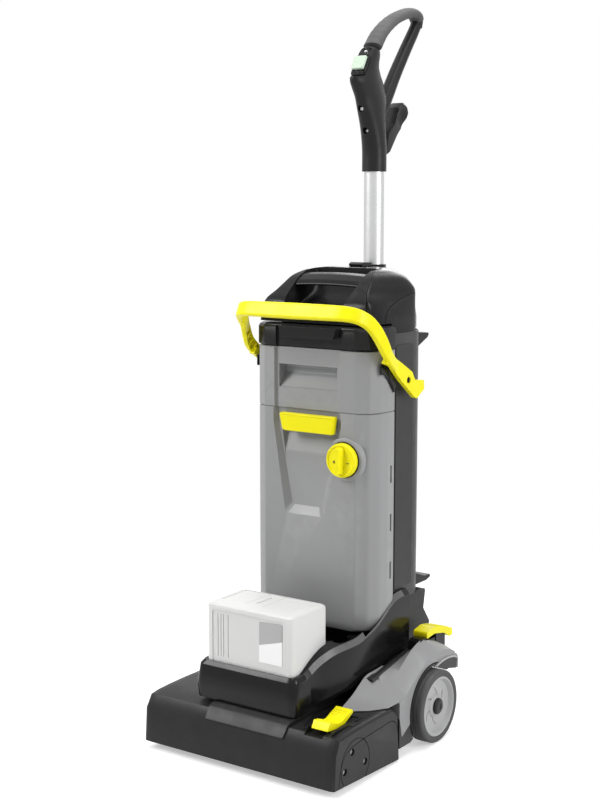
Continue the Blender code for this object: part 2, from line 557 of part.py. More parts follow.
def build_hood():
    plans = [(0.6442, [(0.086, 0.1930), (0.0980, 0.2050), (0.1040, 0.262), (0.1040, 0.318),
                       (0.0980, 0.338), (0.0760, 0.373), (0.055, 0.3960)]),
             (0.6740, [(0.078, 0.2030), (0.0880, 0.2070), (0.0970, 0.220), (0.1030, 0.316),
                       (0.0970, 0.337), (0.0750, 0.370), (0.052, 0.3930)]),
             (0.6900, [(0.070, 0.2200), (0.0780, 0.2225), (0.0870, 0.234), (0.1015, 0.318),
                       (0.0950, 0.340), (0.0750, 0.370), (0.050, 0.3900)]),
             (0.7000, [(0.066, 0.2330), (0.0740, 0.2355), (0.0820, 0.246), (0.0970, 0.318),
                       (0.0900, 0.338), (0.0700, 0.366), (0.048, 0.3850)]),
             (0.7110, [(0.062, 0.2480), (0.0690, 0.2510), (0.0750, 0.261), (0.0880, 0.312),
                       (0.0810, 0.335), (0.0620, 0.358), (0.042, 0.3780)]),
             (0.7175, [(0.056, 0.2620), (0.0620, 0.2650), (0.0670, 0.275), (0.0760, 0.310),
                       (0.0700, 0.330), (0.0540, 0.352), (0.034, 0.3700)]),
             (0.7210, [(0.048, 0.2750), (0.0540, 0.2780), (0.0600, 0.287), (0.0640, 0.308),
                       (0.0580, 0.326), (0.0440, 0.345), (0.026, 0.3600)]),
             (0.7225, [(0.030, 0.3000), (0.0380, 0.3020), (0.0420, 0.306), (0.0440, 0.313),
                       (0.0400, 0.322), (0.0300, 0.332), (0.018, 0.3420)])]
    hood = loft([mirrored(plan) for _, plan in plans], "z", [height for height, _ in plans])
    foot = loft([mirrored(plans[0][1])] * 2, "z", [COLUMN_TOP + GAP, plans[0][0] + 0.001])
    foot = cut(foot, box((-0.2, 0.2), (0.10, 0.2600), (0.60, 0.6441)))
    boss = disc("z", (0, TUBE_Y), 0.0215, 0.7000, COLLAR_LOW + 0.001, 24)
    hood = join(hood, foot, boss)
    grip_half = 0.0580
    grip_recess = prism([(0.180, 0.668), (0.248, 0.668), (0.286, 0.682), (0.296, 0.700),
                         (0.300, 0.760), (0.180, 0.760)], "x", -grip_half, grip_half)
    inside_side = [(0.268, 0.60), (0.268, 0.655), (0.302, 0.672), (0.332, 0.682), (0.342, 0.700),
                   (0.364, 0.694), (0.376, 0.668), (0.376, 0.60)]
    inside_plan = mirrored([(0.076, 0.255), (0.076, 0.335), (0.055, 0.372), (0.040, 0.380)])
    inside = meet(prism(inside_side, "x", -0.080, 0.080), prism(inside_plan, "z", 0.59, 0.72))
    tube_hole = disc("z", (0, TUBE_Y), TUBE_R + RUN, 0.60, 0.80, 24)
    bar_side = [(0.2345, 0.6990), (0.2420, 0.7055), (0.2550, 0.7125), (0.2640, 0.7145),
                (0.2640, 0.7050), (0.2405, 0.6965)]
    bar = prism(bar_side, "x", -grip_half - 0.0015, grip_half + 0.0015)
    collar_room = disc("z", (0, TUBE_Y), 0.0220, COLLAR_LOW - GAP, 0.75, 24)
    hood = cut(join(cut(hood, grip_recess, inside), bar), tube_hole, collar_room)
    node("hood", hood, BLACK, "upright_pivot")
    collar = hollow("z", (0, TUBE_Y), 0.0205, TUBE_R + RUN, COLLAR_LOW, COLLAR_TOP, 24)
    node("tube_collar", collar, CHARCOAL, "upright_pivot")
    latch = prism([(0.318, 0.7240), (0.316, 0.7285), (0.322, 0.7310), (0.3460, 0.7300),
                   (0.3470, 0.7245)], "x", -0.0120, 0.0120)
    node("tube_latch", latch, BLACK, "latch_pivot")


def build_upright_inside():
    turbine = turned([(0.0, 0.634), (0.024, 0.634), (0.027, 0.638), (0.027, 0.661), (0.0, 0.661)], "z",
                     (-0.045, 0.315), 20)
    node("suction_turbine", turbine, STEEL, "upright_pivot")
    line = [(0, 0.300, 0.150), (0, 0.304, 0.220), (-0.012, 0.318, 0.320), (-0.045, 0.318, 0.430),
            (-0.055, 0.312, 0.540), (-0.050, 0.312, 0.630)]
    hose = sweep(smooth_path(line, 5), (1, 0, 0), 0.0135, 0.0135, 12)
    node("suction_hose", hose, HOSE, "upright_pivot")
    board = box((0.040, 0.088), (0.270, 0.278), (0.300, 0.400))
    node("control_board", board, GREEN_BOARD, "upright_pivot")


# ---- battery ----------------------------------------------------------------------------
def build_battery():
    plan = rounded([(-BATTERY_HALF, BATTERY_FRONT), (BATTERY_HALF, BATTERY_FRONT),
                    (BATTERY_HALF, BATTERY_BACK), (-BATTERY_HALF, BATTERY_BACK)], 0.008, 3)
    top = [(x * 0.95, BATTERY_MID + (y - BATTERY_MID) * 0.92) for x, y in plan]
    pack = loft([plan, plan, top], "z", [BATTERY_BOTTOM, BATTERY_TOP - 0.004, BATTERY_TOP])
    node("battery_pack", pack, PALE, "battery_pivot")


# ---- tanks ------------------------------------------------------------------------------
def tank_plan(inset):
    half, front, rear = TANK_HALF - inset, TANK_FRONT + inset, TANK_REAR - inset
    return mirrored([(0.085 - inset * 0.4, front), (0.102 - inset * 0.8, front + 0.011),
                     (half - 0.002, front + 0.026), (half, front + 0.040), (half, rear)])


def build_tanks():
    plan = tank_plan(0.0)
    foot = [(x * 0.96, 0.004 + y * 0.985) for x, y in plan]
    lower = loft([foot, plan, plan], "z", [TANK_BOTTOM, TANK_BOTTOM + 0.010, TANK_SEAM])
    room = prism(tank_plan(WALL), "z", TANK_BOTTOM + 0.004, TANK_SEAM + 0.02)
    recess = prism([(-0.060, 0.5200), (0.060, 0.5200), (0.035, 0.3500), (-0.035, 0.3500)], "y", 0.170,
                   TANK_FRONT + 0.007)
    backing = prism([(-0.065, 0.5300), (0.065, 0.5300), (0.038, 0.3465), (-0.038, 0.3465)], "y", 0.170,
                    TANK_FRONT + 0.007 + WALL)
    finger = box((-0.050, 0.050), (0.170, TANK_FRONT + 0.018), (0.4620, 0.4780))
    finger_back = box((-0.053, 0.053), (0.170, TANK_FRONT + 0.021), (0.4590, 0.4810))
    back, front = TANK_FRONT + 0.002, TANK_FRONT - 0.004
    boss = turned([(0.0, front), (KNOB_R + 0.006, front), (KNOB_R + 0.007, back), (0.0, back)],
                  "y", (KNOB_X, KNOB_Z), 28)
    lower = join(cut(lower, cut(room, backing, finger_back)), boss)
    lower = cut(lower, recess, finger)
    node("lower_tank", lower, GREY, "tank_pivot")
    upper = prism(tank_plan(0.0), "z", TANK_SEAM + GAP, TANK_TOP)
    upper_room = prism(tank_plan(WALL), "z", TANK_SEAM + 0.004, TANK_TOP + 0.02)
    deep = TANK_FRONT + 0.024
    pocket = box((-0.055, 0.055), (0.170, deep), (0.5430, 0.5790))
    pocket_back = box((-0.058, 0.058), (0.170, deep + WALL), (0.5400, 0.5820))
    drain = disc("z", (0.060, 0.235), 0.010, 0.50, 0.53, 16)
    upper = cut(upper, cut(upper_room, pocket_back), pocket, drain)
    node("upper_tank", upper, GREY, "tank_pivot")
    plug = turned([(0.0, 0.4950), (0.0085, 0.4950), (0.0085, 0.5170), (0.0125, 0.5170),
                   (0.0125, 0.5230), (0.0, 0.5230)], "z", (0.060, 0.235), 16)
    node("tank_plug", plug, RUBBER, "tank_pivot")
    lid = prism(tank_plan(-0.0010), "z", TANK_TOP + GAP * 5, LID_TOP)
    lid = cut(lid, prism(tank_plan(WALL), "z", TANK_TOP - 0.01, LID_TOP - 0.004))
    lip = prism([(0.1770, 0.6250), (0.1790, 0.6390), (0.1930, 0.6405), (0.1930, 0.6330)], "x",
                -0.0500, 0.0500)
    node("tank_lid", join(lid, lip), CHARCOAL, "tank_pivot")
    float_cage = turned([(0.0, 0.5850), (0.0130, 0.5850), (0.0130, 0.6320), (0.0, 0.6320)], "z",
                        (-0.050, 0.236), 16)
    node("float_valve", float_cage, PALE, "tank_pivot")
    for tag, side in (("left", -1), ("right", 1)):
        x = TANK_HALF + GAP
        clip = prism([(0.232, 0.586), (0.246, 0.590), (0.256, 0.552), (0.250, 0.538), (0.240, 0.552)],
                     "x", x, x + 0.0030)
        node("bail_clip_" + tag, clip if side > 0 else flipped(clip), CHARCOAL, "tank_pivot")
    tab = prism([(0.1845, 0.5060), (0.1820, 0.4800), (0.1860, 0.4785), (0.1920, 0.4800),
                 (0.1920, 0.5060)], "x", -0.0510, 0.0510)
    node("release_tab", tab, YELLOW, "release_pivot")


def build_knob():
    front = TANK_FRONT - 0.004 - GAP
    dial = turned([(0.0, front), (KNOB_R, front), (KNOB_R - 0.001, front - 0.008),
                   (KNOB_R - 0.003, front - 0.010), (0.0, front - 0.010)], "y", (KNOB_X, KNOB_Z), 28)
    left, right = KNOB_X - 0.0055, KNOB_X + 0.0055
    low, high = KNOB_Z - 0.0230, KNOB_Z + 0.0230
    outline = rounded([(left, low), (right, low), (right, high), (left, high)], 0.005, 3)
    ridge = prism(outline, "y", front - 0.019, front - 0.006)
    node("dosing_knob", join(dial, ridge), YELLOW, "knob_pivot")


def build_bail():
    half = [Vector(p) for p in ((0.0, 0.147, 0.6660), (0.050, 0.147, 0.6660), (0.0880, 0.149, 0.6655),
                                (0.106, 0.158, 0.6620), (0.1150, 0.172, 0.6540), (0.1190, 0.185, 0.6430),
                                (0.1235, 0.196, 0.6270), (0.1262, 0.208, 0.6080), (0.1245, 0.223, 0.5940),
                                (0.1215, 0.241, 0.5822))]
    points = [Vector((-p.x, p.y, p.z)) for p in reversed(half[1:])] + half
    path = smooth_path(points, 3)
    section = ((-1, -0.6), (-0.8, -1), (0.8, -1), (1, -0.6), (1, 0.6), (0.8, 1), (-0.8, 1), (-1, 0.6))
    rings = []
    for i, place in enumerate(path):
        ahead = (path[min(i + 1, len(path) - 1)] - path[max(i - 1, 0)]).normalized()
        outward = Vector((ahead.y, -ahead.x, 0.45 * abs(ahead.x))).normalized()
        across = ahead.cross(outward).normalized()
        outward = across.cross(ahead)
        tall = 0.0120 - 0.0030 * abs(1 - 2 * i / (len(path) - 1))
        rings.append([place + across * a * tall + outward * b * 0.0042 for a, b in section])
    bail = bridge(rings)
    plate = [(0.230, 0.5800), (0.240, 0.5940), (0.262, 0.5830), (0.288, 0.5690), (0.296, 0.5560),
             (0.322, 0.5540), (0.324, 0.5400), (0.300, 0.5260), (0.254, 0.5600)]
    ear = prism(plate, "x", 0.1168, 0.1236)
    ear = cut(ear, disc("x", (BAIL_Y, BAIL_Z), 0.0030, 0.10, 0.13, 12))
    left_ear = flipped(ear.copy())
    bail = join(bail, left_ear, ear)
    node("bail_handle", bail, YELLOW, "bail_pivot")


# ---- telescopic handle ------------------------------------------------------------------
# levels of the handle body: height, middle along Y, half depth, half width
HANDLE_BODY = [(0.8720, 0.3710, 0.0203, 0.0203), (0.9020, 0.3710, 0.0203, 0.0203),
               (0.9250, 0.3690, 0.0225, 0.0198), (0.9470, 0.3655, 0.0265, 0.0190),
               (0.9660, 0.3625, 0.0325, 0.0185), (0.9850, 0.3598, 0.0380, 0.0180),
               (0.9980, 0.3530, 0.0405, 0.0175), (1.0100, 0.3470, 0.0410, 0.0172),
               (1.0230, 0.3440, 0.0350, 0.0168), (1.0350, 0.3460, 0.0280, 0.0165),
               (1.0510, 0.3540, 0.0215, 0.0162), (1.0600, 0.3580, 0.0160, 0.0140),
               (1.0640, 0.3600, 0.0080, 0.0080)]
SEAM = [(0.3760, 0.8000), (0.3750, 0.9020), (0.3730, 0.9350), (0.3620, 0.9640), (0.3450, 0.9880),
        (0.3460, 1.0100), (0.3560, 1.0400), (0.3640, 1.0560), (0.3660, 1.1000)]
CABLE_HORN = [(0.3850, 0.8950), (0.3970, 0.9010), (0.4200, 0.9300), (0.4480, 0.9560), (0.4565, 0.9680),
              (0.4520, 0.9780), (0.4400, 0.9830), (0.4260, 0.9740), (0.4120, 0.9480), (0.3920, 0.9300)]


def build_handle():
    tube = turned([(TUBE_R, TUBE_LOW), (TUBE_R, TUBE_HIGH), (TUBE_R - 0.0015, TUBE_HIGH),
                   (TUBE_R - 0.0015, TUBE_LOW)], "z", (0, TUBE_Y), 24)
    node("handle_tube", tube, ALUMINIUM, "tube_pivot")
    socket = disc("z", (0, TUBE_Y), TUBE_R + GAP, 0.80, TUBE_HIGH + GAP, 24)
    line = [(0, 0.3830, 0.9600), (0, 0.4040, 0.9880), (0, 0.4290, 1.0240), (0, 0.4600, 1.0640),
            (0, 0.4900, 1.1010), (0, 0.4990, 1.1160)]
    strut = sweep(smooth_path(line, 3), (1, 0, 0), lambda t: 0.0125 - 0.0035 * t,
                  lambda t: 0.0105 - 0.0020 * t, 10)
    body = loft([[(0.94 * half * c, middle + deep * n) for c, n in circle((0, 0), 1.0, 16)]
                 for _, middle, deep, half in HANDLE_BODY], "z", [level[0] for level in HANDLE_BODY])
    whole = join(body, prism(rounded(CABLE_HORN, 0.004, 1), "x", -0.0125, 0.0125), strut)
    seat = prism([(0.3180, 1.0100), (0.3480, 1.0600), (0.3200, 1.0800), (0.2800, 1.0300)], "x", -0.03, 0.03)
    screw_holes = [disc("y", (0.0, 0.9350), 0.0040, 0.330, 0.3520, 12),
                   disc("y", (0.0, 0.9680), 0.0040, 0.310, 0.3410, 12)]
    front_room = prism([(0.2000, 0.8000)] + SEAM + [(0.2000, 1.1000)], "x", -0.05, 0.05)
    rear_room = prism([(y - GAP, z) for y, z in SEAM] + [(0.6000, 1.2000), (0.6000, 0.8000)], "x",
                      -0.05, 0.05)
    line = [(0, 0.3640, 1.0640), (0, 0.3850, 1.0870), (0, 0.4185, 1.1085), (0, 0.4560, 1.1225),
            (0, 0.4790, 1.1262), (0, 0.4930, 1.1235), (0, 0.4985, 1.1170)]
    path = smooth_path(line, 3)
    tip = path[-1] + (path[-1] - path[-2]).normalized() * 0.0006
    start = path[0] + (path[0] - path[1]).normalized() * 0.0006
    grip_room = sweep([start] + path[1:-1] + [tip], (1, 0, 0), lambda t: 0.0171 - 0.004 * t,
                      lambda t: 0.0106 - 0.0015 * t, 12)
    shell = cut(whole, socket, seat, grip_room)
    node("handle_shell_rear", cut(shell.copy(), front_room), CHARCOAL, "tube_pivot")
    node("handle_shell_front", cut(shell, rear_room, *screw_holes), CHARCOAL, "tube_pivot")
    grip = sweep(path, (1, 0, 0), lambda t: 0.0165 - 0.004 * t, lambda t: 0.0100 - 0.0015 * t, 12)
    node("grip_sleeve", grip, RUBBER, "tube_pivot")


def build_switch():
    ahead = Vector((0, 0.024, 0.040)).normalized()
    out = Vector((0, -ahead.z, ahead.y))
    centre = Vector((0, 0.3320, 1.0335))

    def block(half_wide, half_long, low, high):
        corners = ((-half_wide, -half_long), (half_wide, -half_long), (half_wide, half_long),
                   (-half_wide, half_long))
        rings = []
        for level in (low, high):
            rings.append([centre + Vector((x, 0, 0)) + ahead * a + out * level for x, a in corners])
        return bridge(rings)
    node("switch_base", block(0.0130, 0.0180, GAP * 2, 0.0050), BLACK, "tube_pivot")
    node("switch_rocker", block(0.0110, 0.0120, 0.0062, 0.0105), PALE, "switch_pivot")


# ---- assembly ---------------------------------------------------------------------------
build_head()
build_roller()
build_drive()
build_squeegees()
build_rocker()
build_chassis()
build_side(-1)
build_side(1)
build_pedal()
build_cradle()
build_column()
build_hood()
build_upright_inside()
build_battery()
build_tanks()
build_knob()
build_bail()
build_handle()
build_switch()
bpy.data.objects["machine"].location = (0, -LENGTH / 2, 0)
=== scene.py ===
"""Looks of a compact upright floor scrubber: every moulded piece, rubber part and metal tube is
modelled and finished here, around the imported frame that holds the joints.

Lengths are metres. Drawings count Y back from the lower front edge of the brush head, and piece()
moves each finished mesh to its place in the frame.
"""
import json
from math import cos, sin, tan, pi, radians

import bpy
import bmesh
from mathutils import Vector, Matrix

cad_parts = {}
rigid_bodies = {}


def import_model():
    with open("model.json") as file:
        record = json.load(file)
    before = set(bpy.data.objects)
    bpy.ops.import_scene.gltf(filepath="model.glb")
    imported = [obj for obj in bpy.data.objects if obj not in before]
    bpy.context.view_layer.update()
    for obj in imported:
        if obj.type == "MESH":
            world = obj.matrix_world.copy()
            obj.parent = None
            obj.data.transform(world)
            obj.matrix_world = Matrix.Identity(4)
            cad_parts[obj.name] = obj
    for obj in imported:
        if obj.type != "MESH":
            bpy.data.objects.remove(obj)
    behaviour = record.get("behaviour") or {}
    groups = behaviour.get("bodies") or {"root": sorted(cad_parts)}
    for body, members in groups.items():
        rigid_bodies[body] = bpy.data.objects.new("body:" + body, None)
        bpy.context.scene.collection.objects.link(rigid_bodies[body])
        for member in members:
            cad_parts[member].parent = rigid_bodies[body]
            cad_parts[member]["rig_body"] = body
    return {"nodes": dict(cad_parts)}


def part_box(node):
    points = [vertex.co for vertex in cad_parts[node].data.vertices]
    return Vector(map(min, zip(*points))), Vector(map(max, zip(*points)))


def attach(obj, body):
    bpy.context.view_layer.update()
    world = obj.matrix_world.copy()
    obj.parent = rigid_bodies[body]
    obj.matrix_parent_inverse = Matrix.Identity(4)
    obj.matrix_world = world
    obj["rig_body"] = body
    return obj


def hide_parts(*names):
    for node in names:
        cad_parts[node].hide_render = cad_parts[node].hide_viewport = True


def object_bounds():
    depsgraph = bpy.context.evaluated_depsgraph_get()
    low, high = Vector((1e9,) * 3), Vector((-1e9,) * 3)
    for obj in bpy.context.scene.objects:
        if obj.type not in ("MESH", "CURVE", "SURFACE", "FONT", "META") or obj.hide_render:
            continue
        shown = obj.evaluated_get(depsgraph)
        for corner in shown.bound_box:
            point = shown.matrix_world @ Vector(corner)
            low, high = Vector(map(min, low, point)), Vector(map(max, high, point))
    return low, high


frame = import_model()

CAD_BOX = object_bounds()
FRONT = CAD_BOX[0].y


def machine_box(name):
    """A CAD node's box, with Y counted from the front of the brush head."""
    low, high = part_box(name)
    shift = Vector((0, FRONT, 0))
    return low - shift, high - shift


# ---- outlines ---------------------------------------------------------------------------
def arc(centre, radius, start, end, steps):
    turn = [radians(start + (end - start) * i / steps) for i in range(steps + 1)]
    return [(centre[0] + radius * cos(a), centre[1] + radius * sin(a)) for a in turn]


def circle(centre, radius, steps=40):
    return arc(centre, radius, 0, 360, steps)[:-1]


def rectangle(across, upward):
    return [(across[0], upward[0]), (across[1], upward[0]), (across[1], upward[1]), (across[0], upward[1])]


def rounded(points, radius, steps=6):
    """Rounds each corner of a closed outline; radius is one value or one for each corner."""
    radii = radius if isinstance(radius, (list, tuple)) else [radius] * len(points)
    outline = []
    for i, (point, r) in enumerate(zip(points, radii)):
        here = Vector(point)
        to_last = Vector(points[i - 1]) - here
        to_next = Vector(points[(i + 1) % len(points)]) - here
        if r == 0:
            outline.append(tuple(here))
            continue
        half = to_last.angle(to_next) / 2
        reach = min(r / tan(half), to_last.length * 0.499, to_next.length * 0.499)
        first = here + to_last.normalized() * reach
        last = here + to_next.normalized() * reach
        for k in range(steps + 1):
            t = k / steps
            outline.append(tuple(first * (1 - t) ** 2 + here * 2 * t * (1 - t) + last * t ** 2))
    return outline


def round_box(across, upward, radius, steps=6):
    """A rectangle with rounded corners."""
    return rounded(rectangle(across, upward), radius, steps)


def mirrored(half):
    """Closes an outline given for x >= 0 only, from the front to the rear."""
    return half + [(-x, y) for x, y in reversed(half)]


def catmull(a, b, c, d, t):
    return (b * 2 + (c - a) * t + (a * 2 - b * 5 + c * 4 - d) * t ** 2
            + (b * 3 - a - c * 3 + d) * t ** 3) / 2


def smooth_line(points, steps, closed=False):
    """A smooth curve through the points, with the given steps between neighbours."""
    pts = [Vector(p) for p in points]
    ends = [pts[-1]] + pts + pts[:2] if closed else [pts[0] * 2 - pts[1]] + pts + [pts[-1] * 2 - pts[-2]]
    line = [catmull(a, b, c, d, k / steps)
            for a, b, c, d in zip(ends, ends[1:], ends[2:], ends[3:]) for k in range(steps)]
    return line if closed else line + [pts[-1]]


def flat_curve(points, steps):
    """A smooth line in a drawing plane, as plain pairs."""
    return [tuple(p) for p in smooth_line(points, steps)]


# ---- solids from bmesh operators --------------------------------------------------------
AXES = {"x": (1, 2, 0), "y": (0, 2, 1), "z": (0, 1, 2)}


def to_space(point, axis, along):
    place = [0.0, 0.0, 0.0]
    for slot_index, value in zip(AXES[axis], (point[0], point[1], along)):
        place[slot_index] = value
    return Vector(place)


def add_ring(bm, points):
    verts = [bm.verts.new(p) for p in points]
    return verts, [bm.edges.new(pair) for pair in zip(verts, verts[1:] + verts[:1])]


def skin(rings):
    """One closed solid through a row of rings."""
    bm = bmesh.new()
    loops = [add_ring(bm, ring) for ring in rings]
    for (_, low), (_, high) in zip(loops, loops[1:]):
        bmesh.ops.bridge_loops(bm, edges=low + high)
    for verts in (loops[0][0], loops[-1][0]):
        bm.faces.new(verts)
    bmesh.ops.recalc_face_normals(bm, faces=bm.faces)
    return bm


def slab(outline, axis, low, high):
    """An outline pulled straight along an axis."""
    bm = bmesh.new()
    verts, _ = add_ring(bm, [to_space(p, axis, low) for p in outline])
    pulled = bmesh.ops.extrude_face_region(bm, geom=[bm.faces.new(verts)])["geom"]
    moved = [v for v in pulled if isinstance(v, bmesh.types.BMVert)]
    bmesh.ops.translate(bm, vec=to_space((0, 0), axis, high - low), verts=moved)
    bmesh.ops.recalc_face_normals(bm, faces=bm.faces)
    return bm


def block(x, y, z):
    return slab(rectangle(x, y), "z", z[0], z[1])


def loft(outlines, axis, places):
    return skin([[to_space(p, axis, a) for p in line] for line, a in zip(outlines, places)])


def turned(profile, axis, centre, steps=64, closed=False):
    """A turned solid from (radius, place along the axis) points."""
    bm = bmesh.new()
    verts = [bm.verts.new(to_space((centre[0] + r, centre[1]), axis, t)) for r, t in profile]
    edges = [bm.edges.new(pair) for pair in zip(verts, verts[1:])]
    if closed:
        edges.append(bm.edges.new((verts[-1], verts[0])))
    bmesh.ops.spin(bm, geom=verts + edges, cent=to_space(centre, axis, 0), axis=to_space((0, 0), axis, 1),
                   angle=2 * pi, steps=steps, use_merge=True)
    bmesh.ops.remove_doubles(bm, verts=bm.verts, dist=1e-6)
    bmesh.ops.dissolve_degenerate(bm, edges=bm.edges, dist=1e-6)
    bmesh.ops.recalc_face_normals(bm, faces=bm.faces)
    return bm


def rod(axis, centre, radius, low, high, steps=40):
    return slab(circle(centre, radius, steps), axis, low, high)


def sweep(path, across, section):
    """A section(t) outline of (sideways, upward) points carried along a path."""
    rings = []
    side = Vector(across).normalized()
    for i, place in enumerate(path):
        ahead = path[min(i + 1, len(path) - 1)] - path[max(i - 1, 0)]
        up = ahead.cross(side).normalized()
        rings.append([place + side * a + up * b for a, b in section(i / (len(path) - 1))])
    return skin(rings)


def as_object(bm, name="tool"):
    mesh = bpy.data.meshes.new(name)
    bm.to_mesh(mesh)
    bm.free()
    obj = bpy.data.objects.new(name, mesh)
    bpy.context.scene.collection.objects.link(obj)
    return obj


def combine(bm, tools, operation):
    """Applies exact booleans one after another and gives back a bmesh."""
    target = as_object(bm)
    for tool_bm in tools:
        tool = as_object(tool_bm)
        change = target.modifiers.new("change", "BOOLEAN")
        change.operation = operation
        change.solver = "EXACT"
        change.object = tool
        bpy.context.view_layer.update()
        shape = target.evaluated_get(bpy.context.evaluated_depsgraph_get())
        result = bpy.data.meshes.new_from_object(shape)
        target.modifiers.clear()
        target.data = result
        bpy.data.objects.remove(tool, do_unlink=True)
    out = bmesh.new()
    out.from_mesh(target.data)
    bpy.data.objects.remove(target, do_unlink=True)
    bmesh.ops.remove_doubles(out, verts=out.verts, dist=2e-6)
    bmesh.ops.dissolve_limit(out, angle_limit=radians(0.2), verts=out.verts, edges=out.edges)
    return out


def cut(bm, *tools):
    return combine(bm, tools, "DIFFERENCE")


def join(bm, *tools):
    return combine(bm, tools, "UNION")


def meet(bm, *tools):
    return combine(bm, tools, "INTERSECT")


def flipped(bm):
    """The same solid for the other side of the machine."""
    bmesh.ops.scale(bm, vec=(-1, 1, 1), verts=bm.verts)
    bmesh.ops.reverse_faces(bm, faces=bm.faces)
    return bm


SIDES = (("right", 1), ("left", -1))


def sided(bm, side):
    """A solid as drawn for the right side, or turned over for the left."""
    return bm if side > 0 else flipped(bm)


# ---- shader groups and finishes ---------------------------------------------------------
def add(tree, kind, **values):
    """A new shader node of the kind, with its settings."""
    made = tree.nodes.new("ShaderNode" + kind)
    for key, value in values.items():
        setattr(made, key, value)
    return made


def new_group(name, inputs, outputs):
    tree = bpy.data.node_groups.new(name, "ShaderNodeTree")
    for label, kind, default in inputs:
        made = tree.interface.new_socket(label, in_out="INPUT", socket_type="NodeSocket" + kind)
        made.default_value = default
    for label, kind in outputs:
        tree.interface.new_socket(label, in_out="OUTPUT", socket_type="NodeSocket" + kind)
    return tree, tree.nodes.new("NodeGroupInput"), tree.nodes.new("NodeGroupOutput")


def object_noise(tree, scale, detail=3.0, roughness=0.55, stretch=(1, 1, 1)):
    """A noise on Object coordinates; scale is a number or a socket."""
    coords = add(tree, "TexCoord")
    mapping = add(tree, "Mapping")
    mapping.inputs["Scale"].default_value = stretch
    noise = add(tree, "TexNoise")
    tree.links.new(coords.outputs["Object"], mapping.inputs["Vector"])
    tree.links.new(mapping.outputs["Vector"], noise.inputs["Vector"])
    if isinstance(scale, (int, float)):
        noise.inputs["Scale"].default_value = scale
    else:
        tree.links.new(scale, noise.inputs["Scale"])
    noise.inputs["Detail"].default_value = detail
    noise.inputs["Roughness"].default_value = roughness
    return noise.outputs["Fac"]


def calc(tree, operation, first, second, clamp=False):
    made = add(tree, "Math", operation=operation, use_clamp=clamp)
    for socket, value in zip(made.inputs, (first, second)):
        if isinstance(value, (int, float)):
            socket.default_value = value
        else:
            tree.links.new(value, socket)
    return made.outputs[0]


def spread(tree, value, low, high, to_low=0.0, to_high=1.0):
    """Maps low..high to to_low..to_high, clamped."""
    made = add(tree, "MapRange")
    tree.links.new(value, made.inputs["Value"])
    for socket, number in zip(("From Min", "From Max", "To Min", "To Max"), (low, high, to_low, to_high)):
        made.inputs[socket].default_value = number
    return made.outputs["Result"]


def make_groups():
    """Moulded grain, colour drift, worn edges and settled dust, shared by the finishes."""
    tree, ins, outs = new_group("moulded_grain", [("Size", "Float", 900.0)], [("Height", "Float")])
    fine = object_noise(tree, ins.outputs["Size"], 2.0, 0.6)
    slow = object_noise(tree, 60.0, 2.0, 0.5)
    tree.links.new(calc(tree, "ADD", fine, calc(tree, "MULTIPLY", slow, 0.6)), outs.inputs["Height"])

    tree, ins, outs = new_group("colour_drift", [("Colour", "Color", (0.5, 0.5, 0.5, 1)), ("Amount", "Float", 0.06)],
                                [("Colour", "Color")])
    field = object_noise(tree, 14.0, 4.0, 0.6)
    gain = calc(tree, "ADD", calc(tree, "MULTIPLY", calc(tree, "SUBTRACT", field, 0.5), ins.outputs["Amount"]), 1.0)
    scaled = add(tree, "VectorMath", operation="SCALE")
    tree.links.new(ins.outputs["Colour"], scaled.inputs[0])
    tree.links.new(gain, scaled.inputs["Scale"])
    tree.links.new(scaled.outputs[0], outs.inputs["Colour"])

    tree, ins, outs = new_group("worn_edges", [("Amount", "Float", 0.5)], [("Mask", "Float")])
    shape = add(tree, "NewGeometry")
    edge = spread(tree, shape.outputs["Pointiness"], 0.53, 0.62)
    patchy = spread(tree, object_noise(tree, 45.0, 5.0, 0.65), 0.35, 0.7)
    mask = calc(tree, "MULTIPLY", calc(tree, "MULTIPLY", edge, patchy), ins.outputs["Amount"], True)
    tree.links.new(mask, outs.inputs["Mask"])

    tree, ins, outs = new_group("settled_dust", [("Amount", "Float", 0.2)], [("Mask", "Float")])
    shape = add(tree, "NewGeometry")
    parts = add(tree, "SeparateXYZ")
    tree.links.new(shape.outputs["Normal"], parts.inputs["Vector"])
    upward = spread(tree, parts.outputs["Z"], 0.45, 1.0)
    patchy = spread(tree, object_noise(tree, 32.0, 6.0, 0.7), 0.4, 0.75)
    mask = calc(tree, "MULTIPLY", calc(tree, "MULTIPLY", upward, patchy), ins.outputs["Amount"], True)
    tree.links.new(mask, outs.inputs["Mask"])


def use_group(tree, name, **values):
    made = add(tree, "Group", node_tree=bpy.data.node_groups[name])
    for key, value in values.items():
        made.inputs[key].default_value = value
    return made.outputs[0]


def mix_colour(tree, mask, base, over):
    """The base colour with a fixed colour over it where the mask is one."""
    made = add(tree, "Mix", data_type="RGBA")
    tree.links.new(mask, made.inputs[0])
    tree.links.new(base, made.inputs[6])
    made.inputs[7].default_value = over
    return made.outputs[2]


FINISHES = {}


